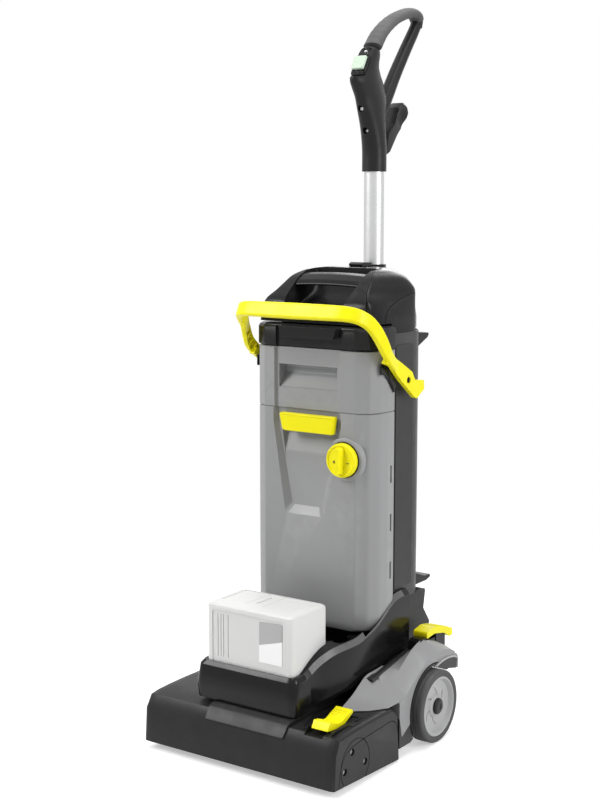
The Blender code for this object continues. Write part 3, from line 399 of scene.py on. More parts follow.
def finish(name, slot_name, colour, roughness, metallic=0.0, grain=900.0, depth=0.05, wear=0.35, worn=None,
           dust=0.1, drift=0.08, specular=0.5, stretch=None, sheen=0.0, vary=0.1, reach=0.0004):
    """A procedural material: drifting colour, moulded grain, worn edges and a little dust."""
    mat = bpy.data.materials.new(name)
    mat.use_nodes = True
    tree = mat.node_tree
    shader = tree.nodes["Principled BSDF"]
    base = use_group(tree, "colour_drift", Colour=(*colour, 1.0), Amount=drift)
    edge_colour = worn or tuple(min(1.0, c * 1.5 + 0.03) for c in colour)
    base = mix_colour(tree, use_group(tree, "worn_edges", Amount=wear), base, (*edge_colour, 1.0))
    dust_mask = use_group(tree, "settled_dust", Amount=dust)
    base = mix_colour(tree, dust_mask, base, (0.5, 0.49, 0.47, 1.0))
    tree.links.new(base, shader.inputs["Base Color"])
    rough = object_noise(tree, 38.0, 4.0, 0.6)
    rough = spread(tree, rough, 0.3, 0.7, roughness - vary * 0.5, roughness + vary * 0.5)
    rough = calc(tree, "ADD", rough, calc(tree, "MULTIPLY", dust_mask, 0.3), True)
    tree.links.new(rough, shader.inputs["Roughness"])
    if stretch:
        height = object_noise(tree, grain, 3.0, 0.6, stretch)
    else:
        height = use_group(tree, "moulded_grain", Size=grain)
    bump = add(tree, "Bump")
    bump.inputs["Strength"].default_value = depth
    bump.inputs["Distance"].default_value = reach
    tree.links.new(height, bump.inputs["Height"])
    tree.links.new(bump.outputs["Normal"], shader.inputs["Normal"])
    shader.inputs["Metallic"].default_value = metallic
    shader.inputs["Specular IOR Level"].default_value = specular
    shader.inputs["Sheen Weight"].default_value = sheen
    mat.diffuse_color = (*colour, 1.0)
    FINISHES[name] = (mat, slot_name)


def make_finishes():
    finish("tank_grey", "grey_plastic", (0.285, 0.287, 0.291), 0.36, wear=0.2, dust=0.03, drift=0.04, specular=0.35)
    finish("cover_grey", "grey_plastic", (0.27, 0.271, 0.275), 0.42, depth=0.1, wear=0.25, dust=0.04, specular=0.35)
    finish("rim_grey", "grey_plastic", (0.4, 0.4, 0.405), 0.4, depth=0.08, wear=0.15, specular=0.35)
    finish("charcoal", "charcoal_plastic", (0.013, 0.013, 0.0135), 0.38, dust=0.02, specular=0.2)
    finish("lid_black", "charcoal_plastic", (0.015, 0.015, 0.0155), 0.22, depth=0.03, wear=0.3, dust=0.01,
           specular=0.2)
    finish("hood_black", "black_plastic", (0.009, 0.009, 0.0095), 0.26, depth=0.03, wear=0.3, dust=0.01,
           specular=0.14)
    finish("shell_black", "black_plastic", (0.006, 0.006, 0.0065), 0.18, depth=0.02, wear=0.2, dust=0.01,
           specular=0.2)
    # painted highlight: the chamfer band's base colour is raised from black to a mid grey so that it stands in for the
    # light its glossy surface reflects
    finish("crest_painted_highlight", "black_plastic", (0.085, 0.085, 0.087), 0.3, depth=0.03, wear=0.1, dust=0.02, specular=0.45)
    finish("foot_grey", "charcoal_plastic", (0.026, 0.026, 0.027), 0.42, depth=0.14, wear=0.3, dust=0.04,
           specular=0.26)
    finish("dark_inside", "black_plastic", (0.004, 0.004, 0.004), 0.6, depth=0.1, wear=0.0, dust=0.0, specular=0.1)
    finish("battery_pale", "pale_plastic", (0.66, 0.66, 0.655), 0.38, wear=0.1, dust=0.02, drift=0.02,
           worn=(0.82, 0.82, 0.81), specular=0.35)
    finish("badge_grey", "pale_plastic", (0.42, 0.42, 0.425), 0.45, depth=0.03, wear=0.0, dust=0.0, drift=0.02)
    finish("badge_white", "pale_plastic", (0.9, 0.9, 0.9), 0.42, depth=0.03, wear=0.0, dust=0.0, drift=0.01)
    finish("pad_green", "pale_plastic", (0.5, 0.62, 0.49), 0.42, wear=0.1, dust=0.03)
    finish("yellow", "yellow_plastic", (0.88, 0.8, 0.006), 0.34, depth=0.04, wear=0.1, dust=0.0, drift=0.05,
           worn=(0.92, 0.86, 0.06), specular=0.2)
    finish("mark_dark", "yellow_plastic", (0.1, 0.09, 0.01), 0.5, wear=0.0, dust=0.0)
    finish("grip_rubber", "soft_rubber", (0.085, 0.085, 0.087), 0.66, depth=0.5, grain=1400.0, wear=0.15, dust=0.08,
           specular=0.3, sheen=0.05)
    finish("blade_rubber", "soft_rubber", (0.022, 0.022, 0.023), 0.6, depth=0.2, wear=0.1, specular=0.25)
    finish("tyre_rubber", "tyre_rubber", (0.075, 0.075, 0.076), 0.7, depth=0.4, grain=1100.0, dust=0.15,
           specular=0.25)
    finish("steel", "steel", (0.56, 0.565, 0.575), 0.3, metallic=1.0, wear=0.2, dust=0.05)
    finish("screw_steel", "steel", (0.42, 0.42, 0.43), 0.32, metallic=1.0, depth=0.04, wear=0.3,
           worn=(0.6, 0.6, 0.61), dust=0.0)
    finish("brushed_tube", "aluminium_tube", (0.6, 0.602, 0.606), 0.34, metallic=1.0, grain=1.0, depth=0.012,
           wear=0.05, dust=0.0, drift=0.02, stretch=(700.0, 700.0, 6.0), worn=(0.7, 0.7, 0.7), vary=0.06)
    finish("bristles", "bristle", (0.5, 0.27, 0.05), 0.7, depth=0.9, grain=700.0, wear=0.3, dust=0.05,
           worn=(0.75, 0.5, 0.18), drift=0.35, reach=0.0015)
    finish("hose_ribbed", "hose", (0.045, 0.045, 0.048), 0.5, depth=0.7, grain=1.0, wear=0.2, dust=0.05,
           stretch=(2.0, 2.0, 420.0), reach=0.0012)
    finish("board_green", "circuit_board", (0.02, 0.13, 0.05), 0.45, depth=0.25, grain=420.0, wear=0.2, dust=0.05,
           worn=(0.45, 0.36, 0.1), drift=0.3)


# ---- pieces -----------------------------------------------------------------------------
def piece(name, bm, look, body, stands_for=(), edge=0.0, segments=3, angle=32, sharp=40):
    """Stores a finished solid: its place in the frame, its edge rounding, finish and body."""
    bmesh.ops.translate(bm, vec=(0, FRONT, 0), verts=bm.verts)
    obj = as_object(bm, name)
    mat, slot_name = FINISHES[look]
    obj.data.materials.clear()
    obj.data.materials.append(mat)
    obj.data.shade_smooth()
    obj.data.set_sharp_from_angle(angle=radians(sharp))
    if edge:
        bevel = obj.modifiers.new("edges", "BEVEL")
        bevel.width = edge
        bevel.segments = segments
        bevel.limit_method = "ANGLE"
        bevel.angle_limit = radians(angle)
        bevel.harden_normals = True
        bevel.use_clamp_overlap = True
        bevel.miter_outer = "MITER_ARC"
    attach(obj, body)
    if stands_for:
        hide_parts(*([stands_for] if isinstance(stands_for, str) else stands_for))
    return obj


def eased_copy(node_name, look, edge):
    """A copy of a CAD node's mesh with its edges rounded, standing for the node."""
    bm = bmesh.new()
    bm.from_mesh(frame["nodes"][node_name].data)
    bmesh.ops.remove_doubles(bm, verts=bm.verts, dist=2e-6)
    bmesh.ops.dissolve_limit(bm, angle_limit=radians(0.5), verts=bm.verts, edges=bm.edges)
    bmesh.ops.translate(bm, vec=(0, -FRONT, 0), verts=bm.verts)
    piece(node_name + "_moulded", bm, look, frame["nodes"][node_name]["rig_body"], node_name, edge)


def refinish(node_name, look):
    """Gives a CAD node that keeps its shape a procedural finish."""
    obj = frame["nodes"][node_name]
    if not obj.material_slots:
        obj.data.materials.append(FINISHES[look][0])
    for place in obj.material_slots:
        place.material = FINISHES[look][0]


def screw(name, body, place, axis, radius=0.0034, turn=1):
    """A pan-head screw with a cross recess; place is its seat, turn the way it faces."""
    centre, along = place
    head = turned([(0.0, along), (radius, along), (radius, along + turn * 0.0008),
                   (radius * 0.86, along + turn * 0.0017), (radius * 0.5, along + turn * 0.0022),
                   (0.0, along + turn * 0.0023)], axis, centre, 28)
    arms = []
    for long_side, short_side in ((radius * 0.62, radius * 0.17), (radius * 0.17, radius * 0.62)):
        outline = rectangle((centre[0] - long_side, centre[0] + long_side),
                            (centre[1] - short_side, centre[1] + short_side))
        reach = sorted((along + turn * 0.0012, along + turn * 0.004))
        arms.append(slab(outline, axis, *reach))
    return piece(name, cut(head, *arms), "screw_steel", body, edge=0.0001, segments=1)


def ribbon(points, width):
    """Closed outline of a line drawn with a constant width."""
    pts = [Vector(p) for p in points]
    left, right = [], []
    for i, here in enumerate(pts):
        run = (pts[min(i + 1, len(pts) - 1)] - pts[max(i - 1, 0)]).normalized()
        side = Vector((-run.y, run.x)) * width / 2
        left.append(tuple(here + side))
        right.append(tuple(here - side))
    return left + right[::-1]


def engraved(bm, cutter, depth):
    """Cuts a groove of constant depth wherever the cutter crosses the surface."""
    core = bm.copy()
    core.normal_update()
    for vert in core.verts:
        vert.co -= vert.normal * depth
    return cut(bm, cut(cutter, core))


# ---- brush head -------------------------------------------------------------------------
HEAD_LOW, HEAD_HIGH = machine_box("head_housing")
HEAD_HALF = machine_box("end_cover_right")[1].x
COVER_IN = machine_box("end_cover_right")[0].x
HEAD_TOP = HEAD_HIGH.z
SKIRT = 0.012
COVER_SCREWS = ((0.048, 0.0555), (0.082, 0.031), (0.029, 0.032))


def head_line(front=0.0, top=0.0, rear=0.0):
    """Side outline of the brush head, drawn in by the given amounts."""
    line = [(0.0, SKIRT), (0.0036, 0.065), (0.015, 0.0832), (0.03, 0.0858), (0.058, 0.0873),
            (0.09, HEAD_TOP), (0.146, HEAD_TOP)] + arc((0.15, 0.064), 0.024, 80, 15, 8)
    line.append((HEAD_HIGH.y, HEAD_LOW.z))
    length = HEAD_HIGH.y
    moved = []
    for y, z in line:
        share = min(1.0, max(0.0, (z - SKIRT) / (HEAD_TOP - SKIRT)))
        moved.append((front + y * (length - front - rear) / length, z - top * share))
    return moved


def build_head():
    half = HEAD_HIGH.x
    shell = slab(head_line(), "x", -half, half)
    inside = head_line(0.004, 0.005, 0.004)
    inside[0] = (0.004, -0.01)
    inside[-1] = (HEAD_HIGH.y - 0.004, -0.01)
    shell = cut(shell, slab(inside, "x", -half - 0.01, half + 0.01),
                block((-0.1575, -0.1435), (0.165, 0.19), (0.02, 0.075)))
    pad = block((0.112, 0.159), (0.018, 0.0975), (0.076, 0.085))
    well = slab(round_box((0.115, 0.156), (0.01, 0.0935), 0.004), "z", 0.0795, 0.1)
    shell = cut(join(shell, pad), well)
    piece("brush_deck", shell, "charcoal", "base", "head_housing", edge=0.0007)
    dark = slab(rounded([(0.108, 0.019), (0.0915, 0.074), (0.0915, 0.143), (0.16, 0.143), (0.16, 0.019)],
                        [0.003, 0.01, 0.003, 0.003, 0.003], 4), "z", HEAD_TOP - 0.001, HEAD_TOP + 0.0005)
    dark = cut(dark, slab(round_box((0.1126, 0.1584), (-0.01, 0.096), 0.004), "z", 0.07, 0.1))
    piece("deck_inlay", dark, "shell_black", "base", edge=0.0003, segments=2)
    for k in range(2):
        low_x = 0.1595 + 0.0035 * k
        bar = slab(round_box((low_x, low_x + 0.0016), (0.06, 0.074), 0.0006, 3), "z", HEAD_TOP - 0.0005,
                   HEAD_TOP + 0.0011)
        piece("deck_rib_%d" % (k + 1), bar, "foot_grey", "base", edge=0.0003, segments=2)
    lip = slab(round_box((0.1128, 0.1582), (0.0125, 0.0958), 0.005), "z", 0.0855, HEAD_TOP + 0.0012)
    lip = cut(lip, slab(round_box((0.1152, 0.1558), (0.01, 0.0934), 0.004), "z", 0.07, 0.1),
              slab(round_box((0.1128, 0.1582), (-0.01, 0.02), 0.002), "z", 0.07, 0.1))
    piece("rocker_surround", lip, "charcoal", "base", edge=0.0006)
    for tag, side in SIDES:
        levels = ((COVER_IN, 0.0, 0.0, 0.0), (0.1655, 0.0001, 0.0001, 0.0001), (0.169, 0.0006, 0.001, 0.0006),
                  (0.1712, 0.0012, 0.0022, 0.0014), (0.1726, 0.0022, 0.0036, 0.0022),
                  (HEAD_HALF + 0.001, 0.003, 0.0046, 0.003))
        cover = loft([head_line(f, t, r) for _, f, t, r in levels], "x", [x for x, *_ in levels])
        disc_cut = turned([(0.0365, 0.1715), (0.0378, 0.1715), (0.0378, 0.18), (0.0365, 0.18)], "x",
                          (0.056, 0.0355), 72, closed=True)
        seats = [rod("x", spot, 0.0052, 0.1695, 0.18, 28) for spot in COVER_SCREWS]
        hollow_room = slab([(0.03, -0.01), (0.03, 0.06), (0.15, 0.06), (0.15, -0.01)], "x", 0.15, 0.1655)
        keep_core = rod("x", (0.086, 0.034), 0.012, 0.15, 0.17)
        face_line = flat_curve(((0.013, 0.01), (0.0165, 0.032), (0.025, 0.05), (0.04, 0.061),
                                (0.07, 0.0655), (0.12, 0.068), (0.15, 0.069), (0.164, 0.064),
                                (0.171, 0.052), (0.173, 0.03)), 5)
        edge_line = slab(ribbon(face_line, 0.0011), "x", 0.1712, 0.18)
        cover = cut(cover, disc_cut, edge_line, cut(hollow_room, keep_core), *seats)
        name = "end_cover_" + tag
        piece(name + "_moulded", sided(cover, side), "charcoal", "base", name, edge=0.0008)
        for i, spot in enumerate(COVER_SCREWS):
            screw("cover_screw_%s_%d" % (tag, i + 1), "base", (spot, side * 0.1696), "x", 0.0036, side)
    side_line = [(0.084, 0.0893), (0.084, 0.0914), (0.03, 0.0914), (0.0185, 0.0892), (0.013, 0.0852),
                 (0.0036, 0.0702), (0.0036, 0.069), (0.0052, 0.0688), (0.015, 0.0845), (0.03, 0.0875)]
    apron = slab(side_line, "x", -0.057, 0.088)
    corner = slab(rounded([(-0.057, -0.02), (0.078, -0.02), (0.088, 0.025), (0.088, 0.084),
                           (-0.057, 0.084)], [0, 0, 0.02, 0.002, 0.002]), "z", 0.05, 0.1)
    panel = loft([round_box((-0.03, 0.06), (0.0085, 0.05), 0.006),
                  round_box((-0.03, 0.06), (0.0085, 0.05), 0.006)], "z", [0.07, 0.1])
    outer_skin = slab([(y - 0.0005, z + 0.0005) for y, z in
                       [(0.03, 0.093), (0.03, 0.0908), (0.0185, 0.0886), (0.013, 0.0846), (0.0036, 0.0696),
                        (-0.02, 0.0696), (-0.02, 0.093)]], "x", -0.1, 0.1)
    piece("deck_apron", cut(meet(apron, corner), meet(panel, outer_skin)), "charcoal", "base", "channel_cover",
          edge=0.0006)


def build_rocker():
    side_line = rounded([(0.02, 0.0885), (0.027, 0.1), (0.048, 0.0925), (0.057, 0.0925), (0.085, 0.103),
                         (0.087, 0.098), (0.064, 0.0868), (0.042, 0.0862)],
                        [0.001, 0.003, 0.01, 0.01, 0.002, 0.001, 0.004, 0.004], 5)
    rocker = slab(side_line, "x", 0.122, 0.1495)
    for y, z in ((0.03, 0.0999), (0.0345, 0.0983), (0.039, 0.0967), (0.068, 0.0972), (0.0725, 0.099),
                 (0.077, 0.1008)):
        rib = slab(rounded([(y - 0.001, z - 0.003), (y + 0.001, z - 0.003), (y + 0.0008, z + 0.0005),
                            (y - 0.0008, z + 0.0005)], 0.0005, 2), "x", 0.125, 0.1465)
        rocker = join(rocker, rib)
    piece("lift_rocker_moulded", rocker, "yellow", "rocker", "lift_rocker", edge=0.0009)


def build_brush():
    centre = (0.086, 0.034)
    core = turned([(0.0, -0.1394), (0.024, -0.1394), (0.0255, -0.138), (0.0255, 0.1434), (0.024, 0.1449),
                   (0.0, 0.1449)], "x", centre, 40)
    core = cut(core, rod("x", centre, 0.0086, 0.12, 0.16), rod("x", centre, 0.0072, -0.15, -0.12, 6))
    piece("brush_core", core, "shell_black", "roller", edge=0.0005)
    tufts = bmesh.new()
    rows, along = 16, 46
    for k in range(along):
        x = -0.137 + 0.279 * k / (along - 1)
        for j in range(rows):
            a = 2 * pi * (j / rows + k * 0.0125)
            spoke = Vector((0, cos(a), sin(a)))
            tip = Vector((x, centre[0], centre[1])) + spoke * 0.0294
            turn = spoke.to_track_quat("Z", "X").to_matrix().to_4x4()
            bmesh.ops.create_cone(tufts, cap_ends=True, segments=6, radius1=0.0016, radius2=0.0024, depth=0.0084,
                                  matrix=Matrix.Translation(tip) @ turn)
    piece("brush_tufts", tufts, "bristles", "roller", "brush_roller")


# ---- base between the wheels ------------------------------------------------------------
AXLE_LOW, AXLE_HIGH = machine_box("axle")
AXLE = ((AXLE_LOW.y + AXLE_HIGH.y) / 2, (AXLE_LOW.z + AXLE_HIGH.z) / 2)
WHEEL_R = (machine_box("tyre_right")[1].z - machine_box("tyre_right")[0].z) / 2
WHEEL_IN, WHEEL_OUT = machine_box("tyre_right")[0].x, machine_box("tyre_right")[1].x
ARCH_R = 0.062
WING_FOOT = 0.0892


def build_sides():
    low = [(0.1815, 0.016), (0.214, 0.016)]
    outer = low + arc(AXLE, ARCH_R + 0.0045, 214, 8, 40)
    rear = rounded([(0.352, 0.078), (0.36, 0.092), (0.36, 0.112), (0.352, 0.122)], 0.005, 4)
    flank_top = [(0.335, 0.13), (0.31, 0.136), (0.285, 0.136), (0.255, 0.127), (0.222, 0.108), (0.2, 0.094)]
    shoulder_top = [(0.335, 0.138), (0.31, 0.149), (0.285, 0.156), (0.25, 0.146), (0.215, 0.124), (0.19, 0.108)]
    crest_top = [(0.335, 0.136), (0.31, 0.14), (0.285, 0.1365), (0.25, 0.1305), (0.215, 0.127), (0.19, 0.125)]
    flank_top = flat_curve([(0.352, 0.122)] + flank_top + [(0.1815, 0.086)], 4)[1:]
    shoulder_top = flat_curve([(0.352, 0.126)] + shoulder_top + [(0.1815, 0.098)], 4)[1:]
    crest_top = flat_curve([(0.352, 0.124)] + crest_top + [(0.1815, 0.1235)], 4)[1:]
    flank, shoulder, crest = (outer + rear + top for top in (flank_top, shoulder_top, crest_top))
    near = [((a[0] + b[0]) / 2, a[1] * 0.8 + b[1] * 0.2) for a, b in zip(crest, shoulder)]
    middle = [((a[0] + b[0]) / 2, a[1] * 0.35 + b[1] * 0.65) for a, b in zip(flank, shoulder)]
    for tag, side in SIDES:
        cover = loft([crest, near, shoulder, middle, flank], "x", [0.1228, 0.1345, 0.148, 0.16, 0.1705])
        sides = [[(0.096, 0.0904), (0.133, 0.1045), (0.166, 0.1225), (0.192, 0.125), (0.215, 0.1265)],
                 [(0.106, 0.0902), (0.137, 0.0985), (0.166, 0.114), (0.19, 0.12), (0.215, 0.125)],
                 [(0.124, 0.0899), (0.146, 0.0925), (0.166, 0.0985), (0.188, 0.106), (0.21, 0.112)],
                 [(0.15, 0.0897), (0.16, 0.0905), (0.172, 0.0912), (0.186, 0.0925), (0.205, 0.095)]]
        sides = [[(line[0][0], WING_FOOT)] + flat_curve(line, 4) + [(line[-1][0], WING_FOOT)] for line in sides]
        wing = loft(sides, "x", [0.1185, 0.132, 0.154, 0.17])
        room = slab([(0.187, 0.02), (0.209, 0.02), (0.209, 0.06), (0.218, 0.08), (0.2, 0.08),
                     (0.187, 0.074)], "x", 0.1, 0.166)
        slot = block((0.124, 0.152), (0.3215, 0.366), (0.1, 0.2))
        seat = slab([(0.28, 0.162), (0.292, 0.146), (0.4, 0.146), (0.4, 0.162)], "x", 0.11, 0.1525)
        rear_gap = slab([(0.32, 0.101), (0.3301, 0.1008), (0.351, 0.0958), (0.37, 0.094), (0.37, 0.05),
                         (0.32, 0.05)], "x", 0.1, 0.19)
        whole = cut(join(cover, wing), room, slot, seat, rear_gap.copy())
        if side < 0:
            whole = cut(whole, block((0.11, 0.16), (0.17, 0.219), (0.02, 0.058)))
        low_line = [(0.15, 0.0), (0.15, 0.074), (0.179, 0.074), (0.189, 0.033), (0.216, 0.048), (0.24, 0.048),
                    (0.24, 0.0)]
        upper = cut(whole.copy(), slab(low_line, "x", 0.1, 0.2))
        foot = meet(whole, slab([(y, z - GAP) for y, z in low_line], "x", 0.1, 0.2))
        name = "side_cover_" + tag
        piece(name + "_moulded", sided(upper, side), "cover_grey", "base", name, edge=0.0014, angle=28)
        piece("cover_foot_" + tag, sided(foot, side), "foot_grey", "base", edge=0.0012, angle=28)
        band = arc(AXLE, ARCH_R + 0.003, 208, 12, 48) + arc(AXLE, ARCH_R, 12, 208, 48)
        hole = rod("x", AXLE, ARCH_R - 0.002, 0.1, 0.19, 96)
        over = [(0.224, 0.0375), (0.2318, 0.0712), (0.2504, 0.0973), (0.2805, 0.1139), (0.3115, 0.1204),
                (0.3388, 0.1184), (0.353, 0.113)]
        under = [(0.2308, 0.0215), (0.2386, 0.051), (0.2595, 0.0812), (0.2853, 0.0989), (0.3051, 0.104),
                 (0.3301, 0.1014), (0.351, 0.0965)]
        over, under = (flat_curve(line, 5) for line in (over, under))
        edge_strip = cut(slab(ribbon(over, 0.0026), "x", 0.1707, 0.1736), hole.copy())
        liner = join(slab(band, "x", 0.1228, 0.1714), cut(slab(over + under[::-1], "x", 0.1707, 0.1724), hole))
        liner = cut(liner, slab(ribbon(over, 0.0034), "x", 0.17, 0.176), rear_gap)
        ridge = smooth_line(((0.166, 0.1225), (0.19, 0.125), (0.215, 0.127), (0.25, 0.1305),
                             (0.285, 0.1365), (0.3, 0.139)), 4)
        ridge = skin([[Vector((0.1215, p.x, p.y - 0.006)), Vector((0.1215, p.x, p.y - 0.0012 + 0.0022 * k / 20)),
                       Vector((0.132, p.x, p.y - 0.0022 + 0.0052 * min(1, k / 8))),
                       Vector((0.1334, p.x, p.y - 0.006))] for k, p in enumerate(ridge)])
        name = "cover_ridge_" + tag
        piece(name, sided(ridge, side), "foot_grey", "base", edge=0.0005, segments=2)
        if side > 0:
            block_line = [(0.27, 0.14), (0.274, 0.153), (0.28, 0.156), (0.294, 0.1552), (0.295, 0.1508),
                          (0.319, 0.1503), (0.32, 0.14)]
            piece("pedal_seat", slab(rounded(block_line, 0.0008, 3), "x", 0.13, 0.1505), "shell_black", "base",
                  edge=0.0006, segments=2)
        name = "arch_edge_" + tag
        piece(name, sided(edge_strip, side), "rim_grey", "base", edge=0.0006)
        name = "arch_liner_" + tag
        piece(name + "_moulded", sided(liner, side), "foot_grey", "base", name, edge=0.0007)


def build_wheels():
    for tag, side in SIDES:
        body = "wheel_" + tag
        tread = [(0.0465, WHEEL_IN), (0.052, WHEEL_IN)]
        tread += arc((WHEEL_R - 0.004, WHEEL_IN + 0.004), 0.004, -60, 0, 5)
        for k in range(3):
            t = WHEEL_IN + 0.008 + 0.006 * k
            tread += [(WHEEL_R, t - 0.0008), (WHEEL_R - 0.001, t - 0.0003), (WHEEL_R - 0.001, t + 0.0003),
                      (WHEEL_R, t + 0.0008)]
        tread += arc((WHEEL_R - 0.004, WHEEL_OUT - 0.004), 0.004, 0, 60, 5)
        tread += [(0.052, WHEEL_OUT), (0.05, WHEEL_OUT - 0.0008), (0.0465, WHEEL_OUT - 0.0006)]
        tyre = turned(tread, "x", AXLE, 96, closed=True)
        rim = turned([(0.0068, WHEEL_IN), (0.015, WHEEL_IN), (0.015, 0.164), (0.04, 0.164),
                      (0.04, WHEEL_IN + 0.001), (0.0462, WHEEL_IN + 0.001), (0.0462, WHEEL_OUT - 0.0012),
                      (0.0448, WHEEL_OUT - 0.0002), (0.043, WHEEL_OUT - 0.0006), (0.0412, 0.18), (0.0395, 0.1768),
                      (0.034, 0.1752), (0.025, 0.1745), (0.0185, 0.1752), (0.0165, 0.1778), (0.014, 0.179),
                      (0.0114, 0.179), (0.011, 0.173), (0.0068, 0.173)], "x", AXLE, 96, closed=True)
        cutters = []
        for k in range(6):
            turn = radians(60 * k + 12)
            way = []
            for r_here, swing in ((0.0175, 0.0), (0.022, 0.1), (0.0265, 0.26), (0.03, 0.46)):
                way.append((AXLE[0] + r_here * cos(turn + swing), AXLE[1] + r_here * sin(turn + swing)))
            cutters.append(slab(ribbon(way, 0.0017), "x", 0.1735, 0.18))
        rim = cut(rim, *cutters)
        cap = turned([(0.0, 0.1815), (0.007, 0.1815), (0.007, 0.1795), (0.0126, 0.1795), (0.0126, 0.1818),
                      (0.0112, 0.1836), (0.009, 0.1844), (0.006, 0.1846), (0.0, 0.1846)], "x", AXLE, 48)
        cap = cut(cap, slab(circle(AXLE, 0.005, 6), "x", 0.1838, 0.186))
        for label, solid, look, edge in (("tyre_", tyre, "tyre_rubber", 0.0), ("rim_", rim, "rim_grey", 0.0005),
                                         ("hub_cap_", cap, "charcoal", 0.0003)):
            piece(label + tag + "_moulded", sided(solid, side), look, body, label + tag, edge)


def build_pedal():
    top = rounded([(0.296, 0.153), (0.296, 0.163), (0.318, 0.1672), (0.35, 0.1605), (0.376, 0.1515),
                   (0.376, 0.14), (0.366, 0.14), (0.35, 0.15), (0.32, 0.156)],
                  [0.002, 0.003, 0.014, 0.01, 0.004, 0.002, 0.006, 0.006, 0.004], 5)
    tread = slab(top, "x", 0.1255, 0.15)
    ribs = []
    for y, z in ((0.324, 0.1662), (0.331, 0.165), (0.338, 0.1634), (0.345, 0.1618), (0.352, 0.1597),
                 (0.359, 0.1573), (0.366, 0.1548)):
        ribs.append(slab(round_box((y - 0.0012, y + 0.0012), (z - 0.004, z + 0.0008), 0.0008, 2), "x",
                         0.1275, 0.148))
    piece("pedal_tread", join(tread, *ribs), "yellow", "pedal", "release_pedal", edge=0.0009)
    post = slab(rounded([(0.33, 0.118), (0.36, 0.118), (0.359, 0.149), (0.348, 0.1498), (0.33, 0.1545)],
                        0.001, 2), "x", 0.1285, 0.1465)
    piece("pedal_post", post, "shell_black", "pedal", edge=0.0012)


# ---- upright: cradle, column and hood ---------------------------------------------------
BATTERY_LOW, BATTERY_HIGH = machine_box("battery_pack")
TANK_LOW, TANK_HIGH = machine_box("lower_tank")
COLUMN_LOW, COLUMN_HIGH = machine_box("column_shell")
TANK_FRONT, TANK_REAR, TANK_HALF = 0.19, TANK_HIGH.y, TANK_HIGH.x
GAP = 0.0003    # between neighbouring solids
ROOM = 0.0006   # round a part that lifts out


def column_plan(half, front, rear):
    return mirrored([(half, front), (half, front + 0.068), (half - 0.006, front + 0.086),
                     (half - 0.024, rear - 0.024), (half - 0.049, rear)])


def build_cradle():
    def plan(half, front):
        return rounded([(-half, front), (half, front), (0.091, 0.16), (-0.091, 0.16)], [0.011, 0.014, 0, 0], 8)
    tray = loft([plan(0.091, 0.026), plan(0.0912, 0.0238), plan(0.0906, 0.0234), plan(0.0882, 0.0268),
                 plan(0.088, 0.0271), plan(0.0838, 0.0318)], "z", [0.0925, 0.11, 0.118, 0.1424, 0.1432, 0.149])
    pocket = slab(round_box((-0.0781, 0.0781), (BATTERY_LOW.y - ROOM, BATTERY_HIGH.y + ROOM), 0.0082, 6),
                  "z", BATTERY_LOW.z - ROOM, 0.3)
    rows = ((0.04, 0.0872, 0.096, 0.147), (0.05, 0.089, 0.096, 0.148), (0.062, 0.0907, 0.097, 0.1535),
            (0.08, 0.094, 0.099, 0.164), (0.098, 0.0993, 0.1015, 0.172), (0.115, 0.104, 0.1045, 0.1768),
            (0.138, 0.1095, 0.108, 0.1795), (0.16, 0.113, 0.1115, 0.182), (0.182, 0.1146, 0.115, 0.1885),
            (0.205, 0.115, 0.1185, 0.196), (0.225, 0.115, 0.121, 0.2065), (0.243, 0.115, 0.123, 0.2175),
            (0.262, 0.115, 0.1255, 0.225), (0.28, 0.115, 0.1275, 0.227), (0.3, 0.115, 0.13, 0.227))
    rows = smooth_line(rows, 4)
    wing = skin([[Vector((x, y, z)) for x, z in
                  ((0.07, low), (out - 0.001, low), (out, low + 0.006), (out, high - 0.0075),
                   (out - 0.0065, high), (0.07, high))] for y, out, low, high in rows])
    other = flipped(wing.copy())
    floor = block((-0.09, 0.09), (0.15, 0.264), (0.13, 0.145))
    cradle = join(tray, wing, other, floor)
    tank_room = slab(tank_plan(-ROOM), "z", TANK_LOW.z - ROOM, 0.3)
    tip_room = slab([(0.214, 0.1774), (0.176, 0.165), (0.176, 0.3), (0.236, 0.3), (0.236, 0.1774)], "x",
                    -TANK_HALF - 0.0012, TANK_HALF + 0.0012)
    column_room = slab(column_plan(0.1046, 0.2614, 0.3966), "z", COLUMN_LOW.z - GAP, 0.3)
    behind = block((-0.1013, 0.1013), (0.2647, 0.4), (0.05, 0.3))
    bay = [(0.0, 0.131), (0.0965, 0.131), (0.101, 0.14), (0.1055, 0.17), (0.1066, 0.189), (0.0, 0.189)]
    bay = slab(bay + [(-x, y) for x, y in reversed(bay)][1:-1], "z", 0.1452, 0.3)
    crest = skin([[Vector((x, y, z)) for x, z in
                   ((out + 0.00025, high - 0.0078), (out - 0.0062, high + 0.0003), (out - 0.0074, high - 0.0016),
                    (out - 0.002, high - 0.008))] for y, out, low, high in rows[9:-3]])
    other = flipped(crest.copy())
    crest = cut(join(crest, other), *(room.copy() for room in (behind, column_room, tank_room, tip_room)))
    cradle = cut(cradle, behind, pocket, bay, tank_room, tip_room, column_room)
    piece("battery_cradle", cradle, "shell_black", "upright", "cradle_frame", edge=0.0008, angle=30)
    # the cradle's chamfer band takes the lighter finish, a painted highlight along the top edge of each wing
    piece("cradle_crest", crest, "crest_painted_highlight", "upright", edge=0.0003, segments=2)
    for tag, side in SIDES:
        ledge = slab([(0.15, 0.1452), (0.15, 0.15), (0.174, 0.164), (0.176, 0.164), (0.176, 0.1452)],
                     "x", *sorted((side * 0.05, side * 0.056)))
        piece("tray_rib_" + tag, ledge, "charcoal", "upright", edge=0.0008)
    eased_copy("pivot_block", "charcoal", 0.003)
    eased_copy("battery_dock", "shell_black", 0.0015)


